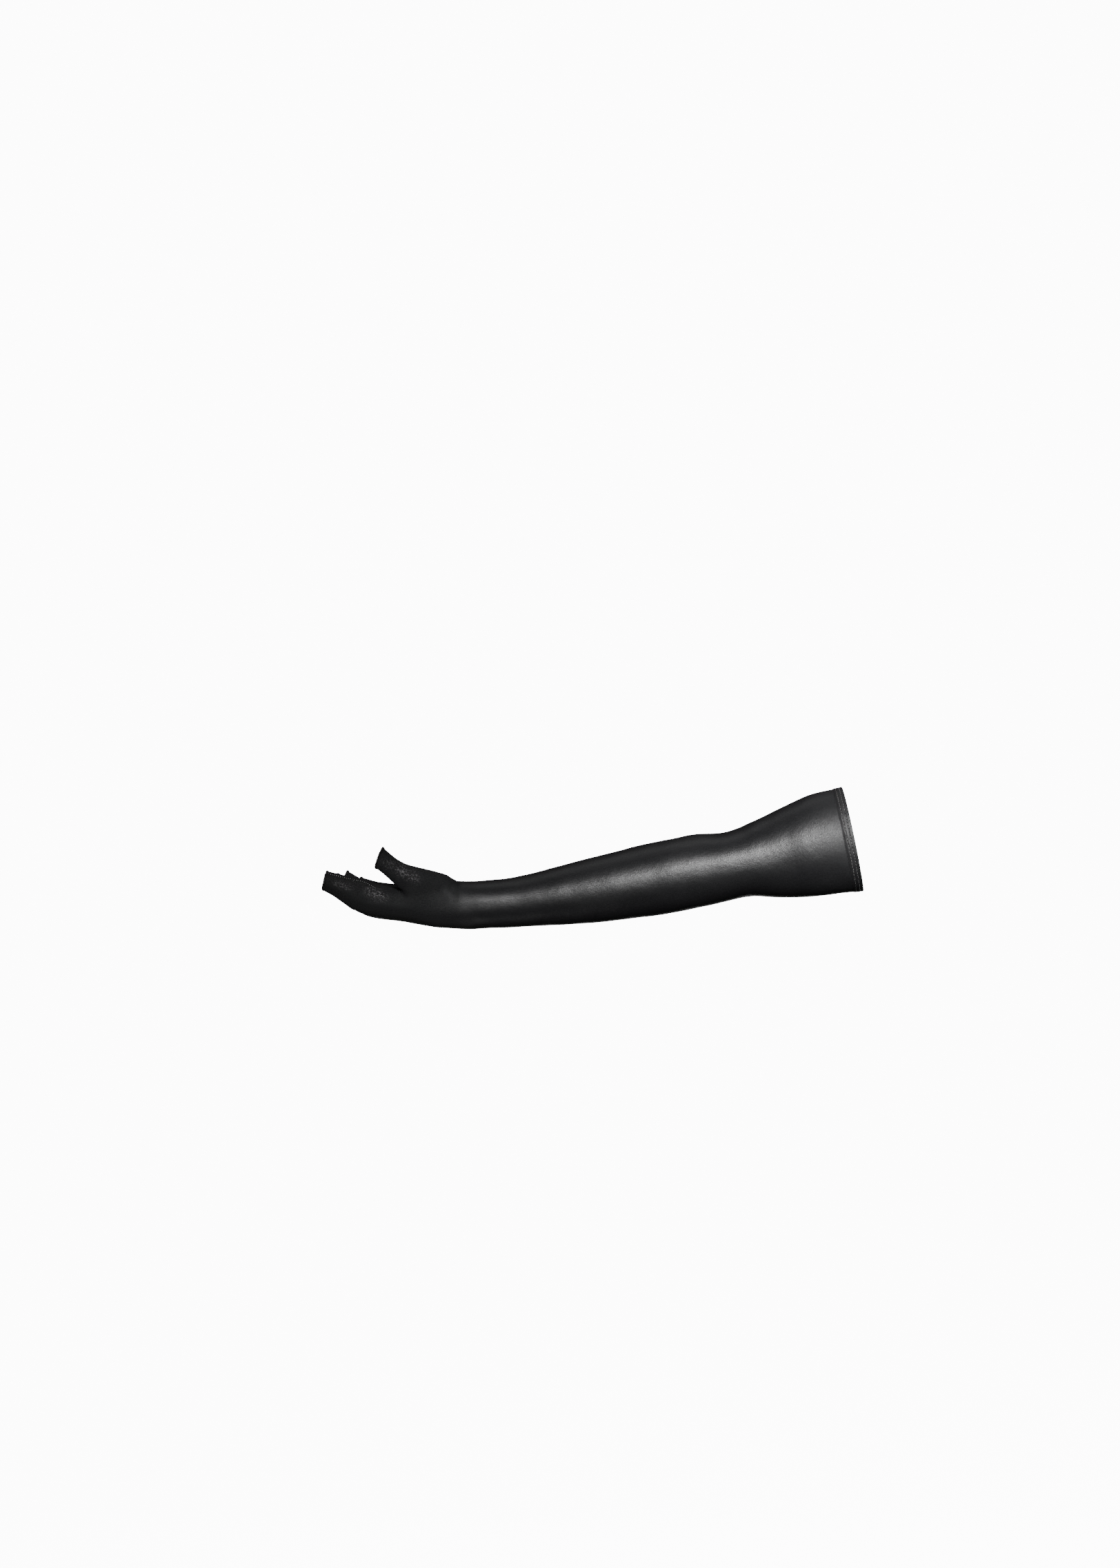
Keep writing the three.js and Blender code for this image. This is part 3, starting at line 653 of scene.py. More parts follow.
@dataclass
class Grid:
    """A warped grid round the skin: fine at the fingers and coarser up the arm.

    The spacing is read between (x, spacing) pairs, and the stations along X come from turning the
    count of spacings up to each x round into x for each whole count.
    """

    skin: Skin
    scale: float = 1.0
    pairs: tuple = (
        (-0.480, 0.79),
        (-0.405, 0.79),
        (-0.360, 1.05),
        (-0.300, 1.55),
        (-0.240, 2.0),
        (0.028, 2.0),
    )
    block: int = 8

    def build(self) -> Shape:
        """Finds the skin on the grid.

        Returns:
            (points, quads): one point for each crossed cell and one quad for each crossed edge.
        """
        self._lay_out()
        inside = self._signs()
        return self._net(inside)

    def _lay_out(self) -> None:
        """Sets the stations along X, their spacings, the grid's middle line and its counts."""
        places = np.array([p[0] for p in self.pairs])
        steps = np.array([p[1] for p in self.pairs]) * MM * self.scale
        fine = np.linspace(places[0], places[-1], 4000)
        spacing = np.interp(fine, places, steps)
        count = np.concatenate([[0], np.cumsum(np.diff(fine) / ((spacing[1:] + spacing[:-1]) / 2))])
        total = int(count[-1]) // self.block * self.block
        self.x = np.interp(np.arange(total), count, fine)
        self.spacing = np.interp(self.x, places, steps)
        centre = self.skin.sleeve.quick(-self.x / SLEEVE_LENGTH)
        ease = np.clip((-self.x - 0.30) / 0.08, 0, 1)
        ease = ease * ease * (3 - 2 * ease)
        self.middle_y = centre[:, 1] * (1 - ease) - 6 * MM * ease
        self.middle_z = centre[:, 2] * (1 - ease) - 38 * MM * ease
        half_y = max(0.056 / self.spacing[0], 0.054 / self.spacing[-1])
        half_z = max(0.048 / self.spacing[0], 0.056 / self.spacing[-1])
        self.count_y = int(2 * half_y) // self.block * self.block + self.block
        self.count_z = int(2 * half_z) // self.block * self.block + self.block

    def place(self, i: Array, j: Array, k: Array) -> Array:
        """Points of the grid.

        Args:
            i, j, k: arrays of indices, whole or not.
        Returns:
            (m, 3) array.
        """
        stations = np.arange(len(self.x))
        spacing = np.interp(i, stations, self.spacing)
        y = np.interp(i, stations, self.middle_y) + spacing * (j - (self.count_y - 1) / 2)
        z = np.interp(i, stations, self.middle_z) + spacing * (k - (self.count_z - 1) / 2)
        return np.stack([np.interp(i, stations, self.x), y, z], 1)

    def _signs(self) -> Array:
        """Whether each point of the grid is inside the skin.

        Blocks of points far from the skin take the sign of the block's middle.

        Returns:
            (x, y, z) array of booleans.
        """
        size = self.block
        shape = (len(self.x) // size, self.count_y // size, self.count_z // size)
        coarse = np.indices(shape).reshape(3, -1) * size + (size - 1) / 2
        value = self.skin.value(self.place(*coarse)).reshape(shape)
        spacing = np.interp(coarse[0], np.arange(len(self.x)), self.spacing).reshape(shape)
        active = np.abs(value) < spacing * size * 1.15 + 1.5 * MM
        inside = np.repeat(np.repeat(np.repeat(value < 0, size, 0), size, 1), size, 2)
        near = np.repeat(np.repeat(np.repeat(active, size, 0), size, 1), size, 2)
        index = np.nonzero(near)
        LOG.info("grid %s, %d points near the skin", inside.shape, len(index[0]))
        inside[index] = self.skin.value(self.place(*index)) < 0
        return inside

    def _net(self, inside: Array) -> Shape:
        """One point in the middle of each crossed cell and one quad round each crossed edge.

        Args:
            inside: array of booleans from _signs.
        Returns:
            (points, quads).
        """
        corners = inside[:-1, :-1, :-1].astype(np.int8)
        for a, b, c in ((0, 0, 1), (0, 1, 0), (0, 1, 1), (1, 0, 0), (1, 0, 1), (1, 1, 0), (1, 1, 1)):
            corners = corners + inside[a : a - 1 or None, b : b - 1 or None, c : c - 1 or None]
        crossed = (corners > 0) & (corners < 8)
        number = np.full(crossed.shape, -1, np.int64)
        number[crossed] = np.arange(crossed.sum())
        cells = np.nonzero(crossed)
        points = self.place(*(np.array(axis) + 0.5 for axis in cells))
        quads = []
        for axis in range(3):
            low = np.take(inside, range(inside.shape[axis] - 1), axis)
            high = np.take(inside, range(1, inside.shape[axis]), axis)
            i, j, k = np.nonzero(low != high)
            other = [n for n in range(3) if n != axis]
            index = [i, j, k]
            keep = np.ones(len(i), bool)
            for n in other:
                keep &= (index[n] > 0) & (index[n] < crossed.shape[n])
            index = [n[keep] for n in index]
            solid_below = inside[tuple(index)]
            ring = []
            for p, q in ((0, 0), (1, 0), (1, 1), (0, 1)):
                cell = list(index)
                cell[other[0]] = index[other[0]] - p
                cell[other[1]] = index[other[1]] - q
                ring.append(number[tuple(cell)])
            quad = np.stack(ring, 1)
            turned = solid_below ^ (axis == 1)
            quad[~turned] = quad[~turned][:, ::-1]
            quads.append(quad)
        return points, np.vstack(quads)


class Surface:
    """A triangle mesh as arrays, with named values at its points."""

    def __init__(self, points: Array, triangles: Array, values: dict | None = None) -> None:
        """
        Args:
            points: (n, 3) array.
            triangles: (m, 3) array of indices.
            values: {name: (n,) array}.
        """
        self.points = points
        self.triangles = triangles
        self.values = dict(values or {})

    def cut(self, name: str) -> list["Surface"]:
        """Cuts the triangles along the line where a named value is 0.

        An edge that changes sign gets one new point, where a straight line between its two values
        crosses 0, and every value there is read off the same line.

        Args:
            name: the value to cut by.
        Returns:
            (above, below): the Surface where it is positive and the one where it is negative.
        """
        level = self.values[name]
        high = level > 0
        corner = high[self.triangles]
        count = corner.sum(1)
        whole = [self.triangles[count == 3], self.triangles[count == 0]]
        mixed = self.triangles[(count == 1) | (count == 2)]
        state = high[mixed]
        lone_state = state.sum(1) == 1
        lone = np.argmax(state == lone_state[:, None], axis=1)
        rows = np.arange(len(mixed))
        a, b, c = (mixed[rows, (lone + k) % 3] for k in range(3))
        pairs = np.sort(np.vstack([np.stack([a, b], 1), np.stack([a, c], 1)]), 1)
        edges, inverse = np.unique(pairs, axis=0, return_inverse=True)
        inverse = inverse.reshape(-1)
        first, second = level[edges[:, 0]], level[edges[:, 1]]
        share = (first / (first - second))[:, None]
        points = self.points[edges[:, 0]] * (1 - share) + self.points[edges[:, 1]] * share
        values = {}
        for key, value in self.values.items():
            new = value[edges[:, 0]] * (1 - share[:, 0]) + value[edges[:, 1]] * share[:, 0]
            values[key] = np.concatenate([value, new])
        values[name][len(self.points) :] = 0
        ab = len(self.points) + inverse[: len(mixed)]
        ac = len(self.points) + inverse[len(mixed) :]
        tip = np.stack([a, ab, ac], 1)
        rest = np.vstack([np.stack([ab, b, c], 1), np.stack([ab, c, ac], 1)])
        twice = np.concatenate([lone_state, lone_state])
        sets = []
        for side, full in ((True, whole[0]), (False, whole[1])):
            triangles = np.vstack([full, tip[lone_state == side], rest[twice != side]])
            sets.append(Surface(np.vstack([self.points, points]), triangles, values).packed())
        return sets

    def packed(self) -> "Surface":
        """The same surface without unused points."""
        used = np.unique(self.triangles)
        number = np.full(len(self.points), -1, np.int64)
        number[used] = np.arange(len(used))
        values = {key: value[used] for key, value in self.values.items()}
        return Surface(self.points[used], number[self.triangles], values)

    def edges(self) -> Array:
        """Each edge once, (k, 2)."""
        t = self.triangles
        pairs = np.vstack([t[:, :2], t[:, 1:], t[:, ::2]])
        return np.unique(np.sort(pairs, 1), axis=0)

    def average(self, array: Array, rounds: int = 1, weight: float = 0.5) -> Array:
        """Values evened out towards the mean of their neighbours'.

        Args:
            array: (n,) or (n, k) values.
            rounds: number of times.
            weight: share of the way to the mean.
        Returns:
            array like the one given.
        """
        edges = self.edges()
        both = np.vstack([edges, edges[:, ::-1]])
        count = np.maximum(np.bincount(both[:, 0], minlength=len(self.points)), 1)
        out = np.asarray(array, float)
        flat = out.reshape(len(out), -1)
        for _ in range(rounds):
            columns = [
                np.bincount(both[:, 0], weights=column[both[:, 1]], minlength=len(flat)) / count
                for column in flat.T
            ]
            flat = flat * (1 - weight) + np.stack(columns, 1) * weight
        return flat.reshape(out.shape)

    def normals(self) -> Array:
        """Unit normals at the points, from the triangles' areas."""
        p = self.points[self.triangles]
        face = np.cross(p[:, 1] - p[:, 0], p[:, 2] - p[:, 0])
        total = np.zeros_like(self.points)
        for k in range(3):
            for axis in range(3):
                total[:, axis] += np.bincount(
                    self.triangles[:, k], weights=face[:, axis], minlength=len(self.points)
                )
        return unit(total)


def split_quads(points: Array, quads: Array) -> Array:
    """Triangles from quads, each split along its shorter diagonal."""
    p = points[quads]
    one = np.linalg.norm(p[:, 0] - p[:, 2], axis=1)
    two = np.linalg.norm(p[:, 1] - p[:, 3], axis=1)
    turned = one > two
    quads = np.where(turned[:, None], np.roll(quads, -1, axis=1), quads)
    return np.vstack([quads[:, [0, 1, 2]], quads[:, [0, 2, 3]]])


class Seams:
    """The seam between the palm panel and the back panel.

    On the arm it is a line at an angle round the sleeve. Past the wrist it is where the skin meets
    ruled sheets: from the sleeve's axis onto the thumb's, from each digit's axis to the next one's,
    and from the little finger's axis back to the sleeve's.
    """

    SWITCH = WRIST - 0.03

    def __init__(self, skin: Skin) -> None:
        """
        Args:
            skin: the Skin.
        """
        self.skin = skin
        self.rows = np.array(ARM_SEAM_ROWS, float)
        self.seam_table = Tube(
            self.rows[:, 0],
            np.hstack([self.rows[:, 1:], np.ones((len(self.rows), 6)) * [1, 1, 1, 0, 0, 2]]),
            SLEEVE_LENGTH,
            0.0,
            1.0,
        )
        self.samples, self.normals = self._sheets()

    def angle(self, t: Array, column: int) -> Array:
        """The seam's angle on the sleeve: column 0 on the thumb's side, 1 on the little finger's."""
        return self.seam_table.row(np.atleast_1d(t))[:, column]

    @staticmethod
    def _centre(tube: Tube, t: Array) -> Array:
        """The axis of a tube at shares t."""
        return tube.row(t)[:, :3]

    def _sheets(self) -> Shape:
        """Samples of all the ruled sheets.

        Returns:
            (points, unit normals), the normals pointing to the palm's side.
        """
        skin, beyond, past_tips = self.skin, 6 * MM, 0.7 * STALL_LENGTH
        thumb, little = skin.thumb, skin.stalls[-1]
        arm = np.arange(self.SWITCH - 0.06, WRIST, 0.004)
        arm = np.append(arm, WRIST)
        along_thumb = np.linspace(0.2, 1 + beyond / thumb.length, 40)
        inner = np.vstack([self._centre(skin.sleeve, arm), self._centre(thumb, along_thumb)])
        outer = np.vstack([
            skin.sleeve.skin(arm, self.angle(arm, 0), beyond),
            thumb.skin(along_thumb, np.full(40, float(THUMB_SEAM)), beyond),
        ])
        sheets = [self._sheet(inner, outer, 1)]
        share = np.linspace(0, 1, 60)
        for i in range(4):
            ends = []
            for side, tube in enumerate((skin.digits[i], skin.digits[i + 1])):
                start = 0.3 if tube is thumb else 0.0
                end = 1 + past_tips / tube.length
                line = self._centre(tube, start + (end - start) * share)
                if i == 0 and side == 1:
                    line = line - np.array([0, 0, INDEX_SEAM_DROP * STALL_HEIGHT])
                ends.append(line)
            sheets.append(self._sheet(*ends, -1))
        along_little = np.linspace(1 + beyond / little.length, 0.3, 20)
        hand = np.linspace(0.95, WRIST, 40)
        back = np.concatenate([hand, arm[::-1][1:]])
        inner = np.vstack([self._centre(little, along_little), self._centre(skin.sleeve, back)])
        outer = np.vstack([
            little.skin(along_little, np.full(20, float(LITTLE_SEAM)), beyond),
            skin.sleeve.skin(back, self.angle(back, 1), beyond),
        ])
        sheets.append(self._sheet(inner, outer, 1))
        return np.vstack([s[0] for s in sheets]), np.vstack([s[1] for s in sheets])

    @staticmethod
    def _sheet(inner: Array, outer: Array, sign: int, step: float = 1.1 * MM) -> Shape:
        """Samples of the ruled sheet between two lines: each of its rulings is a straight line from
        a point of the inner line to the outer line's point at the same share of the way.

        Args:
            inner, outer: (n, 3) arrays.
            sign: 1 or -1, turns the normals to the palm's side.
            step: metres between samples.
        Returns:
            (points, unit normals).
        """
        gone_inside = np.linalg.norm(np.diff(inner, axis=0), axis=1)
        gone_outside = np.linalg.norm(np.diff(outer, axis=0), axis=1)
        gone = np.maximum(gone_inside, gone_outside)
        place = np.concatenate([[0], np.cumsum(gone)])
        fine = np.linspace(0, place[-1], int(place[-1] / step) + 2)
        inner = np.stack([np.interp(fine, place, column) for column in inner.T], 1)
        outer = np.stack([np.interp(fine, place, column) for column in outer.T], 1)
        count = int(np.linalg.norm(outer - inner, axis=1).max() / step) + 2
        share = np.linspace(0, 1, count)[None, :, None]
        points = inner[:, None] * (1 - share) + outer[:, None] * share
        normal = np.cross(np.gradient(points, axis=0), np.gradient(points, axis=1)) * sign
        return points.reshape(-1, 3), unit(normal).reshape(-1, 3)

    def level(self, points: Array) -> Array:
        """How far points on the skin lie from the seam, positive on the palm panel.

        Args:
            points: (n, 3) array.
        Returns:
            (n,) array in metres.
        """
        t, angle, radius = self.skin.sleeve.angles(points)
        palm_of_thumb_seam = (self.angle(t, 0) - angle + 540) % 360 - 180
        palm_of_little_seam = (angle - self.angle(t, 1) + 540) % 360 - 180
        nearer = np.abs(palm_of_thumb_seam) < np.abs(palm_of_little_seam)
        level = np.where(nearer, palm_of_thumb_seam, palm_of_little_seam) * DEGREE * radius
        far = (t > self.SWITCH) | (points[:, 0] < -0.345)
        level[far] = self._level_by_sheets(points[far])
        return level

    def _level_by_sheets(self, points: Array) -> Array:
        """The offset from the nearest sample along its normal.

        Args:
            points: (n, 3) array.
        Returns:
            (n,) array in metres.
        """
        middle = self.samples.mean(0)
        samples = (self.samples - middle).astype(np.float32)
        length = (samples * samples).sum(1)
        out = np.empty(len(points))
        for first in range(0, len(points), 3000):
            part = (points[first : first + 3000] - middle).astype(np.float32)
            nearest = np.argmin(length - 2 * part @ samples.T, axis=1)
            off = points[first : first + 3000] - self.samples[nearest]
            out[first : first + 3000] = (off * self.normals[nearest]).sum(1)
        return out


@dataclass(frozen=True)
class Crease:
    """A crease or swelling of the cloth, seen from the thumb's side.

    Its relief is height times e to the power of less the squared distance from a line, in widths.

    Args:
        start, end: (x, z) of the line's ends, in metres.
        height: metres outwards, negative for a crease.
        width: metres.
    """

    start: tuple
    end: tuple
    height: float
    width: float

    def relief(self, points: Array) -> Array:
        """The crease's relief at points, in metres.

        Args:
            points: (n, 3) array.
        Returns:
            (n,) array.
        """
        a, b = np.array(self.start), np.array(self.end)
        flat = points[:, [0, 2]]
        share = np.clip((flat - a) @ (b - a) / ((b - a) @ (b - a)), 0, 1)
        away = np.linalg.norm(flat - (a + share[:, None] * (b - a)), axis=1)
        return self.height * np.exp(-((away / self.width) ** 2))


def photo_place(px: float, py: float) -> tuple[float, float]:
    """X and Z in metres of a pixel of the photograph."""
    return ((px - 1236) * 0.615 * MM, (1216.8 - py) * 0.615 * MM)


def pucker(px: float) -> Crease:
    """A short pucker of the index stall, 3 pixels under its seam and slanting down from it."""
    seam = 1126 + 0.294 * px
    return Crease(photo_place(px, seam + 3), photo_place(px - 5, seam + 11), -0.38 * MM, 0.95 * MM)


CREASES = (
    Crease(photo_place(562, 1286), photo_place(549, 1299), -0.30 * MM, 1.7 * MM),
    Crease(photo_place(592, 1286), photo_place(578, 1300), -1.0 * MM, 6.0 * MM),
    Crease(photo_place(640, 1290), photo_place(652, 1304), -0.22 * MM, 3.0 * MM),
    Crease(photo_place(650, 1290), photo_place(662, 1302), 0.20 * MM, 3.0 * MM),
    Crease(photo_place(517, 1319), photo_place(526, 1326), -0.5 * MM, 2.4 * MM),
    *(pucker(px) for px in (502, 507, 511.5, 516, 521, 526)),
)

# Patches of the hand where the cloth is glossier and where pale specks are painted into its colour as
# glints (painted highlight), in the same form
GLOSS_AND_PAINTED_GLINT_PATCHES = (
    Crease(photo_place(563, 1251), photo_place(580, 1258), 0.45, 4.0 * MM),
    Crease(photo_place(585, 1262), photo_place(602, 1272), 0.9, 4.5 * MM),
    Crease(photo_place(537, 1291), photo_place(553, 1296), 1.0, 3.6 * MM),
    Crease(photo_place(543, 1300), photo_place(560, 1302), 0.35, 4.0 * MM),
    Crease(photo_place(490, 1280), photo_place(508, 1286), 0.55, 2.8 * MM),
)


class Panels:
    """The back panel and the palm panel, cut from one skin."""

    def __init__(self, skin: Skin, scale: float) -> None:
        """
        Args:
            skin: the Skin.
            scale: 1 for the full mesh, more for a coarser one.
        """
        self.skin = skin
        self.seams = Seams(skin)
        self.scale = scale

    def build(self) -> tuple[Surface, Surface]:
        """Builds both surfaces.

        Returns:
            (back, palm): two Surfaces with the values rim, seam and slack, and the mask of the glossy
                patches where glints are painted on.
        """
        points, quads = Grid(self.skin, self.scale).build()
        points, _ = self.skin.settle(points, 2)
        whole = Surface(points, split_quads(points, quads))
        for _ in range(3):
            points = whole.average(whole.points, 2, 0.5)
            whole.points, normals = self.skin.settle(points)
        whole.triangles = split_quads(whole.points, quads)
        parts = self.skin.parts(whole.points)
        owner = np.abs(parts).argmin(1)
        whole.values["rim"] = self._past_end(whole.points, owner)
        whole.values["seam"] = self.seams.level(whole.points)
        moved = self._relief(whole, parts)
        whole.points = whole.points + normals * moved[:, None]
        # Mask of the glossy patches: lower roughness there, and pale specks painted into the colour
        # there as glints (painted highlight)
        gloss_and_painted_glint = sum(patch.relief(whole.points) for patch in GLOSS_AND_PAINTED_GLINT_PATCHES) * self._seen(whole.points)
        whole.values["gloss_and_painted_glint"] = np.clip(gloss_and_painted_glint, 0, 1)
        whole.values["slack"] = self._slack(whole.points) - gloss_and_painted_glint
        kept = whole.cut("rim")[1]
        palm, back = kept.cut("seam")
        LOG.info("back %d and palm %d triangles", len(back.triangles), len(palm.triangles))
        return back, palm

    def _past_end(self, points: Array, owner: Array) -> Array:
        """Metres past the panel's end, negative on the panel."""
        t = self.skin.sleeve.locate(points)[0]
        out = (HEM_WIDTH - 0.6 * MM) - t * SLEEVE_LENGTH
        for column, tube in enumerate(self.skin.digits, Part.THUMB.value):
            mine = owner == column
            share = tube.locate(points[mine])[0]
            out[mine] = (share - 1) * tube.length + EDGE_WIDTH - 0.7 * MM
        return out

    def _relief(self, whole: Surface, parts: Array) -> Array:
        """The folds, the seam's groove, the creases and a slight unevenness of the cloth, in metres
        outwards. The groove is 0.42 mm times e to the power of less the squared distance in 0.75 mm,
        between two swellings of 0.16 mm."""
        points = whole.points
        t, angle, _ = self.skin.sleeve.angles(points)
        others = parts[:, Part.BALL.value :].min(1)
        on_sleeve = np.clip((others - parts[:, Part.SLEEVE.value]) / (6 * MM), 0, 1)
        on_sleeve = on_sleeve * on_sleeve * (3 - 2 * on_sleeve)
        moved = fold_relief(t, angle) * on_sleeve
        seam = whole.values["seam"]
        moved -= 0.42 * MM * np.exp(-((seam / (0.75 * MM)) ** 2))
        moved += 0.16 * MM * np.exp(-(((np.abs(seam) - 2.1 * MM) / (1.1 * MM)) ** 2))
        seen = self._seen(points)
        for crease in CREASES:
            moved += crease.relief(points) * seen
        waves = (
            (0.10, (61.0, 61.0, 40.0), 0.4),
            (0.09, (97.0, -98.0, 40.0), 1.9),
            (0.07, (148.0, 120.0, -75.0), 3.1),
            (0.05, (235.0, -180.0, 90.0), 5.2),
        )
        for height, way, phase in waves:
            moved += height * MM * np.sin(points @ np.array(way) + phase)
        return moved

    def _slack(self, points: Array) -> Array:
        """How little the cloth is stretched: 0 on the arm, 1 at the hem and 2.8 on the hand."""
        at_hand = np.clip((-0.330 - points[:, 0]) / 0.05, 0, 1)
        at_hem = np.clip((points[:, 0] + 0.042) / 0.034, 0, 1)
        return at_hand * 2.8 + at_hem

    def _seen(self, points: Array) -> Array:
        """1 on the thumb's side of the cloth and 0 on the far side, easing over 8 mm."""
        return np.clip((6 * MM - (points[:, 1] - self.middle_y(points))) / (8 * MM), 0, 1)

    def middle_y(self, points: Array) -> Array:
        """Y of the nearest tube's axis, to tell the thumb's side of the cloth from the far side."""
        row = self.skin.sleeve.quick(-points[:, 0] / SLEEVE_LENGTH)
        return row[:, 1] - 0.012 * (points[:, 0] < -0.34)


def make_object(
    name: str, points: Array, faces: Array, values: dict | None = None, smooth: bool = True
) -> bpy.types.Object:
    """A mesh object at the origin.

    Args:
        name: the object's name.
        points: (n, 3) array.
        faces: (m, 3) or (m, 4) array of indices.
        values: {name: (n,) array} kept as attributes of the points.
        smooth: smooth shading.
    Returns:
        the object, linked to the scene.
    """
    mesh = bpy.data.meshes.new(name)
    sides = faces.shape[1]
    mesh.vertices.add(len(points))
    mesh.vertices.foreach_set("co", np.ascontiguousarray(points, np.float32).ravel())
    mesh.loops.add(faces.size)
    mesh.loops.foreach_set("vertex_index", np.ascontiguousarray(faces, np.int32).ravel())
    mesh.polygons.add(len(faces))
    mesh.polygons.foreach_set("loop_start", np.arange(0, faces.size, sides, dtype=np.int32))
    mesh.polygons.foreach_set("use_smooth", np.full(len(faces), smooth))
    mesh.update(calc_edges=True)
    for key, value in (values or {}).items():
        layer = mesh.attributes.new(key, "FLOAT", "POINT")
        layer.data.foreach_set("value", np.ascontiguousarray(value, np.float32))
    mesh.validate()
    made = bpy.data.objects.new(name, mesh)
    bpy.context.scene.collection.objects.link(made)
    return made


def grid_faces(
    rows: int, columns: int, closed_rows: bool = False, closed_columns: bool = True
) -> Array:
    """Quads of a sheet of points laid out row by row.

    Args:
        rows, columns: counts of points.
        closed_rows, closed_columns: whether the last row or column joins the first.
    Returns:
        (m, 4) array.
    """
    i = np.arange(rows if closed_rows else rows - 1)[:, None]
    j = np.arange(columns if closed_columns else columns - 1)[None, :]
    a = i * columns + j
    b = i * columns + (j + 1) % columns
    c = ((i + 1) % rows) * columns + (j + 1) % columns
    d = ((i + 1) % rows) * columns + j
    return np.stack([a + 0 * b, b, c + 0 * a, d + 0 * a], -1).reshape(-1, 4)


def sweep(path: Array, outward: Array, radius: float, sides: int, closed: bool) -> Shape:
    """A round thread along a path.

    The thread's ring at each point of the path is the path, plus radius times the cosine along the
    outward way, plus radius times the sine along the way across both.

    Args:
        path: (n, 3) array.
        outward: (n, 3) array, roughly square to the path.
        radius: metres, one value or (n,).
        sides: corners of the ring.
        closed: whether the path is a loop.
    Returns:
        (points, quads).
    """
    ahead = np.roll(path, -1, 0) - np.roll(path, 1, 0)
    if not closed:
        ahead[0], ahead[-1] = path[1] - path[0], path[-1] - path[-2]
    ahead = unit(ahead)
    across = unit(np.cross(ahead, outward))
    up = np.cross(across, ahead)
    turn = np.arange(sides) * 2 * math.pi / sides
    size = np.broadcast_to(radius, len(path))[:, None, None]
    ring = np.cos(turn)[None, :, None] * up[:, None] + np.sin(turn)[None, :, None] * across[:, None]
    points = path[:, None] + ring * size
    return points.reshape(-1, 3), grid_faces(len(path), sides, closed_rows=closed)


def capsules(starts: Array, ends: Array, outward: Array, radius: float, sag: float = 0.0) -> Shape:
    """Short stitches, one from each start to each end, low at both ends and thick in the middle.

    Args:
        starts, ends: (n, 3) arrays.
        outward: (n, 3) unit vectors.
        radius: metres.
        sag: metres by which the ends lie under the middle.
    Returns:
        (points, quads) of all stitches together.
    """
    share = np.array([0.0, 0.12, 0.35, 0.65, 0.88, 1.0])
    thick = np.array([0.25, 0.8, 1.0, 1.0, 0.8, 0.25])
    rise = np.array([-1.0, -0.35, 0.0, 0.0, -0.35, -1.0])
    sides = 6
    ahead = unit(ends - starts)
    across = unit(np.cross(ahead, outward))
    turn = np.arange(sides) * 2 * math.pi / sides
    axis = starts[:, None] * (1 - share)[None, :, None] + ends[:, None] * share[None, :, None]
    axis = axis + outward[:, None] * (rise * sag)[None, :, None]
    ring = (
        np.cos(turn)[None, None, :, None] * outward[:, None, None]
        + np.sin(turn)[None, None, :, None] * across[:, None, None]
    )
    points = axis[:, :, None] + ring * (thick * radius)[None, :, None, None]
    one = grid_faces(len(share), sides)
    caps = np.array([[0, 5, 4, 3], [0, 3, 2, 1], [30, 31, 32, 33], [30, 33, 34, 35]])
    one = np.vstack([one, caps])
    offset = np.arange(len(starts))[:, None, None] * (len(share) * sides)
    return points.reshape(-1, 3), (one[None] + offset).reshape(-1, 4)


def joined(pieces: list[Shape]) -> Shape:
    """Several (points, faces) as one."""
    points, faces, first = [], [], 0
    for p, f in pieces:
        points.append(p)
        faces.append(f + first)
        first += len(p)
    return np.vstack(points), np.vstack(faces)


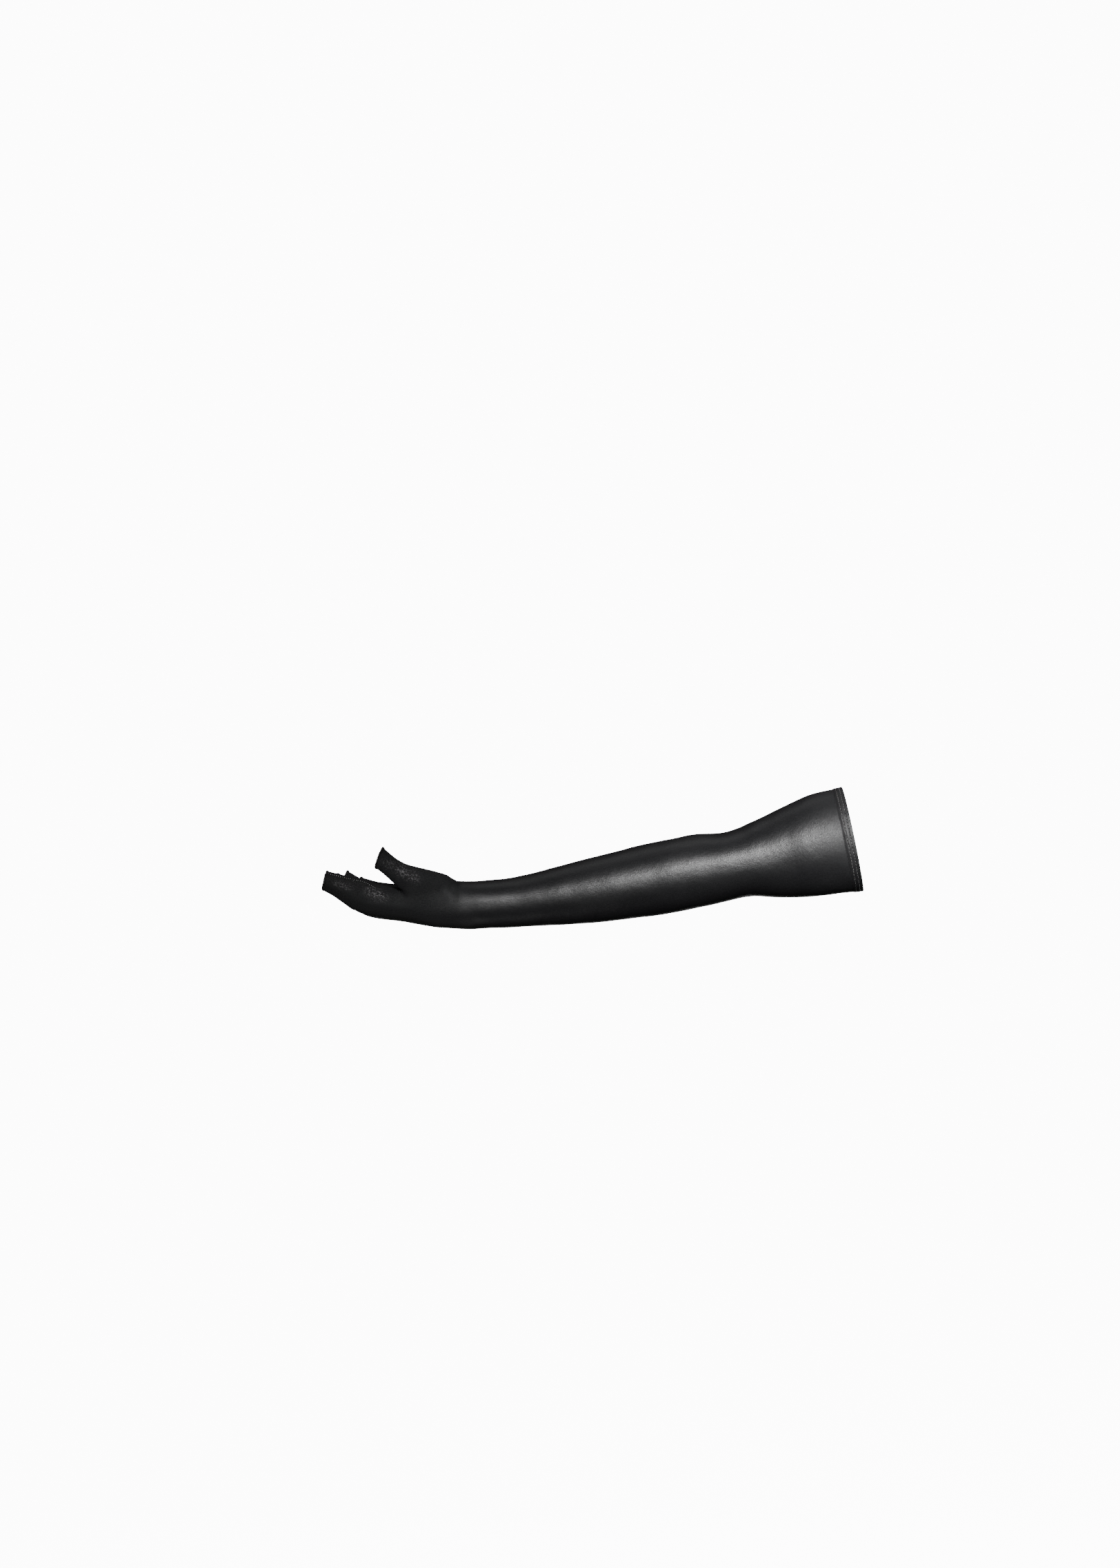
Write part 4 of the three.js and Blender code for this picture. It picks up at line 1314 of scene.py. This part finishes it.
@dataclass
class Hem:
    """The turned hem of the arm opening, sewn down with two rows of stitches.

    The outer face stands from the skin by a profile along the hem: it rises from the rolled edge to
    a low ridge each side of the stitch rows, dips at each row and runs out level with the panel.
    """

    skin: Skin
    rows: tuple = (3.1 * MM, 6.2 * MM)
    pitch: float = 2.9 * MM
    rise: float = 0.62 * MM
    around: int = 420

    def girth(self) -> float:
        """The hem's length round the arm, in metres."""
        angle = np.arange(720) / 2
        ring = self.skin.sleeve.skin(np.zeros(720), angle)
        return float(np.linalg.norm(np.roll(ring, -1, 0) - ring, axis=1).sum())

    def even_angles(self, count: int) -> Array:
        """Angles that part the girth into equal lengths."""
        angle = np.arange(0, 360.25, 0.25)
        ring = self.skin.sleeve.skin(np.zeros(len(angle)), angle)
        gone = np.concatenate([[0], np.cumsum(np.linalg.norm(np.diff(ring, axis=0), axis=1))])
        return np.interp(np.arange(count) * gone[-1] / count, gone, angle)

    def reach(self, along: float, turn: Array) -> Array:
        """How far the outer face stands from the skin.

        Args:
            along: metres from the edge.
            turn: share of the girth.
        Returns:
            metres.
        """
        count = round(self.girth() / self.pitch)
        pull = 0.5 + 0.5 * np.cos(2 * math.pi * count * turn)
        flat = np.clip((HEM_WIDTH + 0.4 * MM - along) / (2.6 * MM), 0, 1)
        level = self.rise * flat * flat * (3 - 2 * flat)
        for row in self.rows:
            level = level - (0.26 + 0.14 * pull) * MM * np.exp(-(((along - row) / (0.42 * MM)) ** 2))
        wander = 0.06 * MM * np.sin(2 * math.pi * (17 * turn + 0.3))
        wander = wander + 0.05 * MM * np.sin(2 * math.pi * 31 * turn)
        return level + wander * flat + 0.03 * MM

    def build(self) -> Shape:
        """The hem's band.

        Returns:
            (points, quads).
        """
        outer = np.linspace(HEM_WIDTH + 0.3 * MM, 0.5 * MM, 44)
        bend = np.linspace(90, 270, 9)[1:-1] * DEGREE
        inner = np.linspace(0.5 * MM, HEM_WIDTH, 12)
        angle = self.even_angles(self.around)
        turn = np.arange(self.around) / self.around
        rings = [self._ring(along, angle, self.reach(along, turn)) for along in outer]
        top = self.reach(0.5 * MM, turn)
        for a in bend:
            middle, half = (top - WALL * 0.95) / 2, (top + WALL * 0.95) / 2
            along = 0.5 * MM + 0.75 * MM * math.cos(a)
            rings.append(self._ring(along, angle, middle + half * math.sin(a)))
        rings += [self._ring(along, angle, np.full(self.around, -WALL * 0.95)) for along in inner]
        points = np.stack(rings, 1).reshape(-1, 3)
        return points, grid_faces(self.around, len(rings), closed_rows=True)[:, ::-1]

    def _ring(self, along: float, angle: Array, reach: Array) -> Array:
        """Points of the hem at metres along from the edge and metres reach out of the skin."""
        t = np.full(len(angle), along / SLEEVE_LENGTH)
        return self.skin.sleeve.skin(t, angle, reach)

    def stitches(self) -> Shape:
        """Both rows of stitches.

        Returns:
            (points, quads).
        """
        count = round(self.girth() / self.pitch)
        fine = self.even_angles(count * 8)
        ways = []
        for number, along in enumerate(self.rows):
            shift = 4 * number
            angle = np.roll(fine, shift)
            start, end = angle[1::8], angle[7::8]
            turn = ((np.arange(count) + 0.5) / count - shift / (8 * count)) % 1
            reach = self.reach(along, turn) + 0.20 * MM
            a = self._ring(along, start, reach)
            b = self._ring(along, end, reach)
            middle = self._ring(along, angle[4::8], reach)
            outward = unit(self._ring(along, angle[4::8], reach + 5 * MM) - middle)
            ways.append(capsules(a, b, outward, 0.24 * MM, 0.22 * MM))
        return joined(ways)


@dataclass
class DigitEdge:
    """The overlocked opening of one stall: a rolled core with a thread wound round it."""

    tube: Tube
    seed: int
    width: float = EDGE_WIDTH
    inside: float = -WALL
    outside: float = 0.55 * MM
    pitch: float = 0.85 * MM

    def _place(self, angle: Array, section: Array, swell: float | Array) -> Array:
        """A point of the edge: section 90 degrees is outwards and 0 the opening's side."""
        middle, half = (self.inside + self.outside) / 2, (self.outside - self.inside) / 2
        wave = 0.10 * MM * np.sin(5 * angle * DEGREE + self.seed) + 0.07 * MM * np.sin(
            11 * angle * DEGREE + 2 * self.seed
        )
        along = 1 - (self.width / 2) / self.tube.length
        t = along + ((self.width / 2 + swell) * np.cos(section) + wave) / self.tube.length
        return self.tube.skin(t, angle, middle + (half + swell) * np.sin(section))

    def core(self) -> Shape:
        """The rolled cloth inside the thread.

        Returns:
            (points, quads).
        """
        sections = np.arange(0, 360, 24.0) * DEGREE
        angle, section = np.meshgrid(np.arange(0, 360, 4.0), sections, indexing="ij")
        points = self._place(angle.ravel(), section.ravel(), -0.02 * MM)
        return points, grid_faces(angle.shape[0], angle.shape[1], closed_rows=True)[:, ::-1]

    def thread(self) -> Shape:
        """The thread, wound round the core all the way round the opening.

        Returns:
            (points, quads).
        """
        ring = self.tube.skin(np.ones(360), np.arange(360.0))
        girth = np.linalg.norm(np.roll(ring, -1, 0) - ring, axis=1).sum()
        loops = round(girth / self.pitch)
        turn = np.arange(loops * 14) / 14
        uneven = 1.6 * np.sin(turn * 1.7 + self.seed) / loops * 2
        angle = (turn / loops * 360 + uneven) % 360
        section = turn * 2 * math.pi
        swell = (-0.04 + 0.05 * np.sin(turn * 2.3 + self.seed) ** 2) * MM
        path = self._place(angle, section, swell)
        outward = unit(path - self._place(angle, section, -0.6 * MM))
        return sweep(path, outward, 0.19 * MM, 6, True)


class SeamStitches:
    """The row of short bright stitches across the seam on the index finger's thumb side."""

    def __init__(self, skin: Skin, seams: Seams) -> None:
        """
        Args:
            skin: the Skin.
            seams: its Seams.
        """
        self.skin = skin
        self.seams = seams

    def line(self, count: int = 400) -> tuple[Array, Array]:
        """Points of the seam on the index stall, from the web to the opening, and their normals.

        At each share of the stall, the seam is where its level changes sign between two angles.

        Returns:
            (points, normals).
        """
        index = self.skin.stalls[0]
        share = np.linspace(0.02, 0.955, count)
        angle = np.linspace(5, 120, 60)
        t, a = np.meshgrid(share, angle, indexing="ij")
        points = index.skin(t.ravel(), a.ravel())
        level = self.seams.level(points).reshape(t.shape)
        change = (level[:, :-1] > 0) & (level[:, 1:] <= 0)
        found = change.any(1)
        column = change.argmax(1)
        rows = np.arange(count)
        low, high = level[rows, column], level[rows, column + 1]
        mix = low / np.where(np.abs(low - high) > 1e-9, low - high, 1)
        seam_angle = angle[column] + (angle[1] - angle[0]) * mix
        points, normals = self.skin.settle(index.skin(share[found], seam_angle[found]), 2)
        return points, normals

    def build(self, pitch: float = 1.75 * MM) -> Shape:
        """The stitches.

        Returns:
            (points, quads).
        """
        points, normals = self.line()
        gone = np.concatenate([[0], np.cumsum(np.linalg.norm(np.diff(points, axis=0), axis=1))])
        count = int(gone[-1] / pitch)
        place = (np.arange(count) + 0.5) * gone[-1] / count
        here = np.stack([np.interp(place, gone, column) for column in points.T], 1)
        normal = unit(np.stack([np.interp(place, gone, column) for column in normals.T], 1))
        ahead = unit(np.stack([np.gradient(column, place) for column in here.T], 1))
        across = unit(np.cross(normal, ahead))
        slant = unit(across + 0.35 * ahead)
        centre = here + normal * 0.06 * MM
        half = slant * 0.8 * MM
        return capsules(centre - half, centre + half, normal, 0.24 * MM, 0.2 * MM)


class Wire:
    """A socket of a shader, with arithmetic by overloaded operators."""

    def __init__(self, tree: bpy.types.NodeTree, socket: bpy.types.NodeSocket | None) -> None:
        """
        Args:
            tree: the node tree.
            socket: an output socket, or a number.
        """
        self.tree = tree
        self.socket = socket

    def node(
        self, kind: str, inputs: dict | None = None, output: int | str = 0, **settings: object
    ) -> "Wire":
        """Makes any other node in the same tree.

        Args:
            kind: the node's type name.
            inputs: {socket name or number: value or Wire}.
            output: the output to return.
            settings: the node's properties.
        Returns:
            Wire of that output.
        """
        made = self.tree.nodes.new(kind)
        for key, value in settings.items():
            setattr(made, key, value)
        for key, value in (inputs or {}).items():
            self.join(value, made.inputs[key])
        return Wire(self.tree, made.outputs[output])

    def join(self, value: object, socket: bpy.types.NodeSocket) -> None:
        """Links a Wire to a socket, or sets the socket to a plain value."""
        if isinstance(value, Wire):
            self.tree.links.new(value.socket, socket)
        else:
            socket.default_value = value

    def _maths(self, operation: str, *values: object) -> "Wire":
        """A Math node on values or Wires."""
        return self.node("ShaderNodeMath", dict(enumerate(values)), operation=operation)

    def __add__(self, other: object) -> "Wire":
        """The sum."""
        return self._maths("ADD", self, other)

    def __radd__(self, other: object) -> "Wire":
        """The sum with the other first."""
        return self._maths("ADD", other, self)

    def __sub__(self, other: object) -> "Wire":
        """The difference."""
        return self._maths("SUBTRACT", self, other)

    def __rsub__(self, other: object) -> "Wire":
        """The difference with the other first."""
        return self._maths("SUBTRACT", other, self)

    def __mul__(self, other: object) -> "Wire":
        """The product."""
        return self._maths("MULTIPLY", self, other)

    def __rmul__(self, other: object) -> "Wire":
        """The product with the other first."""
        return self._maths("MULTIPLY", other, self)

    def __truediv__(self, other: object) -> "Wire":
        """The quotient."""
        return self._maths("DIVIDE", self, other)

    def __rtruediv__(self, other: object) -> "Wire":
        """The quotient with the other first."""
        return self._maths("DIVIDE", other, self)

    def absolute(self) -> "Wire":
        """The value without its sign."""
        return self._maths("ABSOLUTE", self)

    def ramp(self, low: float, high: float) -> "Wire":
        """0 below low and 1 above high, smooth between."""
        inputs = {"Value": self, "From Min": low, "From Max": high}
        return self.node("ShaderNodeMapRange", inputs, interpolation_type="SMOOTHSTEP", clamp=True)

    def noise(self, scale: float, detail: float = 2.0, roughness: float = 0.5) -> "Wire":
        """Noise from 0 to 1 over a vector."""
        inputs = {"Vector": self, "Scale": scale, "Detail": detail, "Roughness": roughness}
        return self.node("ShaderNodeTexNoise", inputs)

    def cells(self, scale: float) -> "Wire":
        """Distance to the nearest of scattered points over a vector."""
        return self.node("ShaderNodeTexVoronoi", {"Vector": self, "Scale": scale}, feature="F1")

    def colour(self, dark: tuple, light: tuple) -> "Wire":
        """A colour between two by this value."""
        inputs = {0: self, 6: (*dark, 1), 7: (*light, 1)}
        return self.node("ShaderNodeMix", inputs, 2, data_type="RGBA")

    def mixed(self, under: "Wire", over: tuple) -> "Wire":
        """A colour laid over a colour Wire by this value."""
        inputs = {0: self, 6: under, 7: (*over, 1)}
        return self.node("ShaderNodeMix", inputs, 2, data_type="RGBA")


def new_material(name: str) -> tuple[bpy.types.Material, bpy.types.Node, Wire]:
    """A material with one Principled shader.

    Args:
        name: its name.
    Returns:
        (material, shader node, Wire of the object's coordinates).
    """
    material = bpy.data.materials.new(name)
    material.use_nodes = True
    tree = material.node_tree
    shader = next(n for n in tree.nodes if n.type == "BSDF_PRINCIPLED")
    start = Wire(tree, None)
    place = start.node("ShaderNodeTexCoord", output="Object")
    return material, shader, place


@dataclass(frozen=True)
class CoatedCloth:
    """Black stretch cloth with a satin coating of fine grain, with pale specks painted into its colour
    as glints on the glossy patches (painted highlight).
    """

    base: tuple = (0.0085, 0.0085, 0.0095)
    pale: tuple = (0.013, 0.013, 0.014)
    # Pale colour of the painted glints: painted highlight
    painted_glint_colour: tuple = (0.15, 0.145, 0.15)
    roughness: float = 0.44
    spread: float = 0.15
    grain: float = 0.35

    def make(self, name: str) -> bpy.types.Material:
        """The material.

        Args:
            name: its name.
        Returns:
            the material.
        """
        material, shader, place = new_material(name)
        broad = place.noise(16.0, 3.0, 0.55)
        fine = place.noise(850.0, 3.0, 0.7)
        crackle = place.cells(1100.0)
        seam = place.node("ShaderNodeAttribute", output="Fac", attribute_name="seam")
        beside = 1.0 - (seam.absolute() / (3.5 * MM)).ramp(0.0, 1.0)
        slack = place.node("ShaderNodeAttribute", output="Fac", attribute_name="slack")
        tint = broad.ramp(0.3, 0.75).colour(self.base, self.pale)
        # Pale specks painted into the base colour on the glossy patches: painted highlight that stands
        # in for glints of the coating
        gloss_and_painted_glint = place.node("ShaderNodeAttribute", output="Fac", attribute_name="gloss_and_painted_glint")
        painted_glints = place.noise(620.0, 2.0, 0.75).ramp(0.50, 0.62) * gloss_and_painted_glint
        tint = painted_glints.mixed(tint, self.painted_glint_colour)
        place.join(tint, shader.inputs["Base Color"])
        rough = self.roughness + (broad - 0.5) * self.spread + (fine - 0.5) * 0.3
        rough = rough + beside * 0.05 + slack * 0.12
        place.join(rough, shader.inputs["Roughness"])
        height = fine * 0.6 + crackle * 0.8
        bump = place.node(
            "ShaderNodeBump", {"Strength": self.grain, "Distance": 0.16 * MM, "Height": height}
        )
        swell = place.noise(160.0, 3.0, 0.5)
        soft = place.node(
            "ShaderNodeBump", {"Strength": 0.25, "Distance": 0.9 * MM, "Height": swell, "Normal": bump}
        )
        place.join(soft, shader.inputs["Normal"])
        shader.inputs["IOR"].default_value = 1.5
        return material


@dataclass(frozen=True)
class Knit:
    """The matt knitted back of the cloth."""

    dark: tuple = (0.010, 0.010, 0.011)
    pale: tuple = (0.030, 0.030, 0.031)

    def make(self, name: str) -> bpy.types.Material:
        """The material."""
        material, shader, place = new_material(name)
        weave = place.noise(1300.0, 2.0, 0.6)
        place.join(weave.ramp(0.35, 0.7).colour(self.dark, self.pale), shader.inputs["Base Color"])
        shader.inputs["Roughness"].default_value = 0.92
        shader.inputs["Specular IOR Level"].default_value = 0.25
        bump = place.node("ShaderNodeBump", {"Strength": 0.5, "Distance": 0.2 * MM, "Height": weave})
        place.join(bump, shader.inputs["Normal"])
        return material


@dataclass(frozen=True)
class Thread:
    """Sewing thread: a colour, a sheen and a fine twist."""

    dark: tuple
    pale: tuple
    roughness: float = 0.6

    def make(self, name: str) -> bpy.types.Material:
        """The material."""
        material, shader, place = new_material(name)
        twist = place.noise(1900.0, 1.0, 0.5)
        place.join(twist.ramp(0.3, 0.7).colour(self.dark, self.pale), shader.inputs["Base Color"])
        shader.inputs["Roughness"].default_value = self.roughness
        bump = place.node("ShaderNodeBump", {"Strength": 0.4, "Distance": 0.08 * MM, "Height": twist})
        place.join(bump, shader.inputs["Normal"])
        return material


@dataclass
class Studio:
    """A plain pale studio, lit softly from the front, with weak lamps above, behind and below.

    A lamp is its name, place, aim, size, watts and the degrees of its beam. The key lamp's narrow
    beam passes the hand by, which leaves it darker than the sleeve.
    """

    centre: tuple = (-0.2608, 0.0, 0.0491)
    height: float = 1.3985
    distance: float = 6.0
    floor: float = -0.78
    lamps: tuple = (
        ("key", (0.25, -2.0, 0.74), (0.25, 0.0, 0.02), (0.9, 0.95), 8.0, 32.0),
        ("rear", (-0.20, 0.9, 2.4), (-0.24, 0.0, -0.02), (2.4, 1.2), 6.5, 180.0),
        ("behind", (-0.25, 1.7, -0.35), (-0.25, 0.0, -0.02), (1.3, 0.5), 4.0, 180.0),
        ("floor_bounce", (-0.60, -0.05, -0.70), (-0.46, 0.0, -0.07), (0.5, 0.5), 0.12, 60.0),
    )

    def build(self) -> None:
        """Makes the backdrop, the lamps, the world and the camera."""
        self._cove()
        for lamp in self.lamps:
            self._lamp(*lamp)
        world = bpy.data.worlds.new("studio")
        world.use_nodes = True
        background = world.node_tree.nodes["Background"]
        background.inputs["Color"].default_value = (0.9, 0.92, 0.95, 1)
        background.inputs["Strength"].default_value = 0.02
        bpy.context.scene.world = world
        self._camera()

    def _cove(self) -> None:
        """A round studio: a level floor that bends up into a wall on every side, past the camera.

        Its profile is a straight line, a quarter circle and a straight line, turned about a vertical
        axis through the middle.
        """
        bend = np.linspace(0, 90, 12) * DEGREE
        reach, radius, sides = 9.0, 1.5, 64
        out = np.concatenate([[0.02, 3.0, 6.0], reach - radius + radius * np.sin(bend), [reach]])
        rise = np.concatenate([[0, 0, 0], radius - radius * np.cos(bend), [10.0]]) + self.floor
        turn = np.arange(sides) * 2 * math.pi / sides
        x = out[:, None] * np.cos(turn)
        y = out[:, None] * np.sin(turn)
        points = np.stack([x, y, np.broadcast_to(rise[:, None], x.shape)], -1).reshape(-1, 3)
        hub = np.array([[0, 0, self.floor]])
        side = np.arange(sides)
        fan = np.stack([np.full(sides, len(points)), (side + 1) % sides, side], 1)
        quads = grid_faces(len(out), sides)
        faces = np.vstack([quads[:, [0, 1, 2]], quads[:, [0, 2, 3]], fan])
        cove = make_object("studio_cove", np.vstack([points, hub]), faces)
        material, shader, _ = new_material("studio_white")
        shader.inputs["Base Color"].default_value = (0.86, 0.86, 0.86, 1)
        shader.inputs["Roughness"].default_value = 0.9
        shader.inputs["Emission Color"].default_value = (1, 1, 1, 1)
        shader.inputs["Emission Strength"].default_value = 12.0
        cove.data.materials.append(material)
        cove.visible_glossy = False
        cove.visible_diffuse = False

    def _lamp(
        self, name: str, place: tuple, aim: tuple, size: tuple, power: float, spread: float
    ) -> None:
        """A rectangular lamp that the camera doesn't see.

        Args:
            name: its name.
            place, aim: where it stands and the point that it faces, in metres.
            size: its width and height, in metres.
            power: watts.
            spread: degrees of its beam.
        """
        data = bpy.data.lights.new(name, "AREA")
        data.shape = "RECTANGLE"
        data.size, data.size_y = size
        data.energy = power
        data.spread = spread * DEGREE
        lamp = bpy.data.objects.new(name, data)
        bpy.context.scene.collection.objects.link(lamp)
        lamp.location = place
        way = Vector(aim) - Vector(place)
        lamp.rotation_euler = way.to_track_quat("-Z", "Y").to_euler()
        lamp.visible_camera = False

    def _camera(self) -> None:
        """A camera level with the sleeve, whose frame is height metres tall at the object."""
        data = bpy.data.cameras.new("camera")
        data.sensor_fit = "VERTICAL"
        data.sensor_height = 36.0
        data.lens = 36.0 * self.distance / self.height
        data.clip_end = 50
        camera = bpy.data.objects.new("camera", data)
        bpy.context.scene.collection.objects.link(camera)
        camera.location = (self.centre[0], self.centre[1] - self.distance, self.centre[2])
        camera.rotation_euler = (math.pi / 2, 0, 0)
        bpy.context.scene.camera = camera


class Mitten:
    """Builds every piece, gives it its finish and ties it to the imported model."""

    BACK_FLAT = (0.165, 0.445)
    PALM_FLAT = (0.135, 0.445)
    BACK_AREA = 0.056
    PALM_AREA = 0.040

    def __init__(self, nodes: list[str], scale: float) -> None:
        """
        Args:
            nodes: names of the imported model's nodes.
            scale: 1 for the full meshes, more for coarser ones.
        """
        self.skin = Skin()
        self.nodes = nodes
        self.scale = scale
        self.cloth = CoatedCloth().make("coated_cloth")
        self.hem_cloth = CoatedCloth(roughness=0.5, base=(0.009, 0.009, 0.010)).make("hem_cloth")
        self.knit = Knit().make("knit_back")
        dark_thread = Thread((0.006, 0.006, 0.006), (0.022, 0.021, 0.020), 0.55)
        self.edge_thread = dark_thread.make("edge_thread")
        self.stitch_thread = Thread((0.07, 0.07, 0.07), (0.17, 0.17, 0.17), 0.4).make("stitch_thread")
        self.seam_thread = Thread((0.22, 0.22, 0.22), (0.5, 0.5, 0.5), 0.35).make("seam_thread")

    def build(self) -> None:
        """Makes the pieces."""
        maker = Panels(self.skin, self.scale)
        back, palm = maker.build()
        hem = self._piece("hem", Hem(self.skin).build(), self.hem_cloth, "arm_hem")
        stitches = Hem(self.skin).stitches()
        hem_thread = self._piece("hem_stitches", stitches, self.stitch_thread)
        stitches = SeamStitches(self.skin, maker.seams).build()
        seam_thread = self._piece("index_seam_stitches", stitches, self.seam_thread)
        names = ("thumb", "index", "middle", "ring", "little")
        for seed, (name, tube) in enumerate(zip(names, self.skin.digits)):
            edge = DigitEdge(tube, seed + 1)
            shape = joined([edge.core(), edge.thread()])
            made = self._piece(
                name + "_rolled_edge", shape, self.edge_thread, name + "_edge"
            )
        back_piece = self._panel("back_panel_cloth", back, "back_panel")
        palm_piece = self._panel("palm_panel_cloth", palm, "palm_panel")

    def _piece(
        self, name: str, shape: Shape, material: bpy.types.Material, node: str | None = None
    ) -> bpy.types.Object:
        """A piece of one finish, riding on the body.

        Args:
            name: its name.
            shape: (points, faces).
            material: its finish.
            node: the node that it stands for, or None.
        Returns:
            the object.
        """
        made = make_object(name, *shape)
        made.data.materials.append(material)
        if node:
            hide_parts(node)
        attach(made, "root")
        LOG.info("made %s", name)
        return made

    def _panel(self, name: str, surface: Surface, node: str) -> bpy.types.Object:
        """A panel with its wall, coated outside and knitted inside.

        Args:
            name: its name.
            surface: its outer face.
            node: what the names of the nodes that it stands for begin with.
        Returns:
            the object.
        """
        made = make_object(name, surface.points, surface.triangles, surface.values)
        made.data.materials.append(self.cloth)
        made.data.materials.append(self.knit)
        solid = made.modifiers.new("wall", "SOLIDIFY")
        solid.thickness = WALL
        solid.offset = -1
        solid.material_offset = 1
        solid.use_even_offset = False
        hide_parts(*(name for name in self.nodes if name.startswith(node)))
        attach(made, "root")
        LOG.info("made %s", name)
        return made


def main() -> None:
    """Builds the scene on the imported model."""
    logging.basicConfig(level=logging.INFO, format="%(name)s: %(message)s")
    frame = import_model()
    Mitten(sorted(frame["nodes"]), 1.0).build()
    Studio().build()


if __name__ == "__main__":
    main()
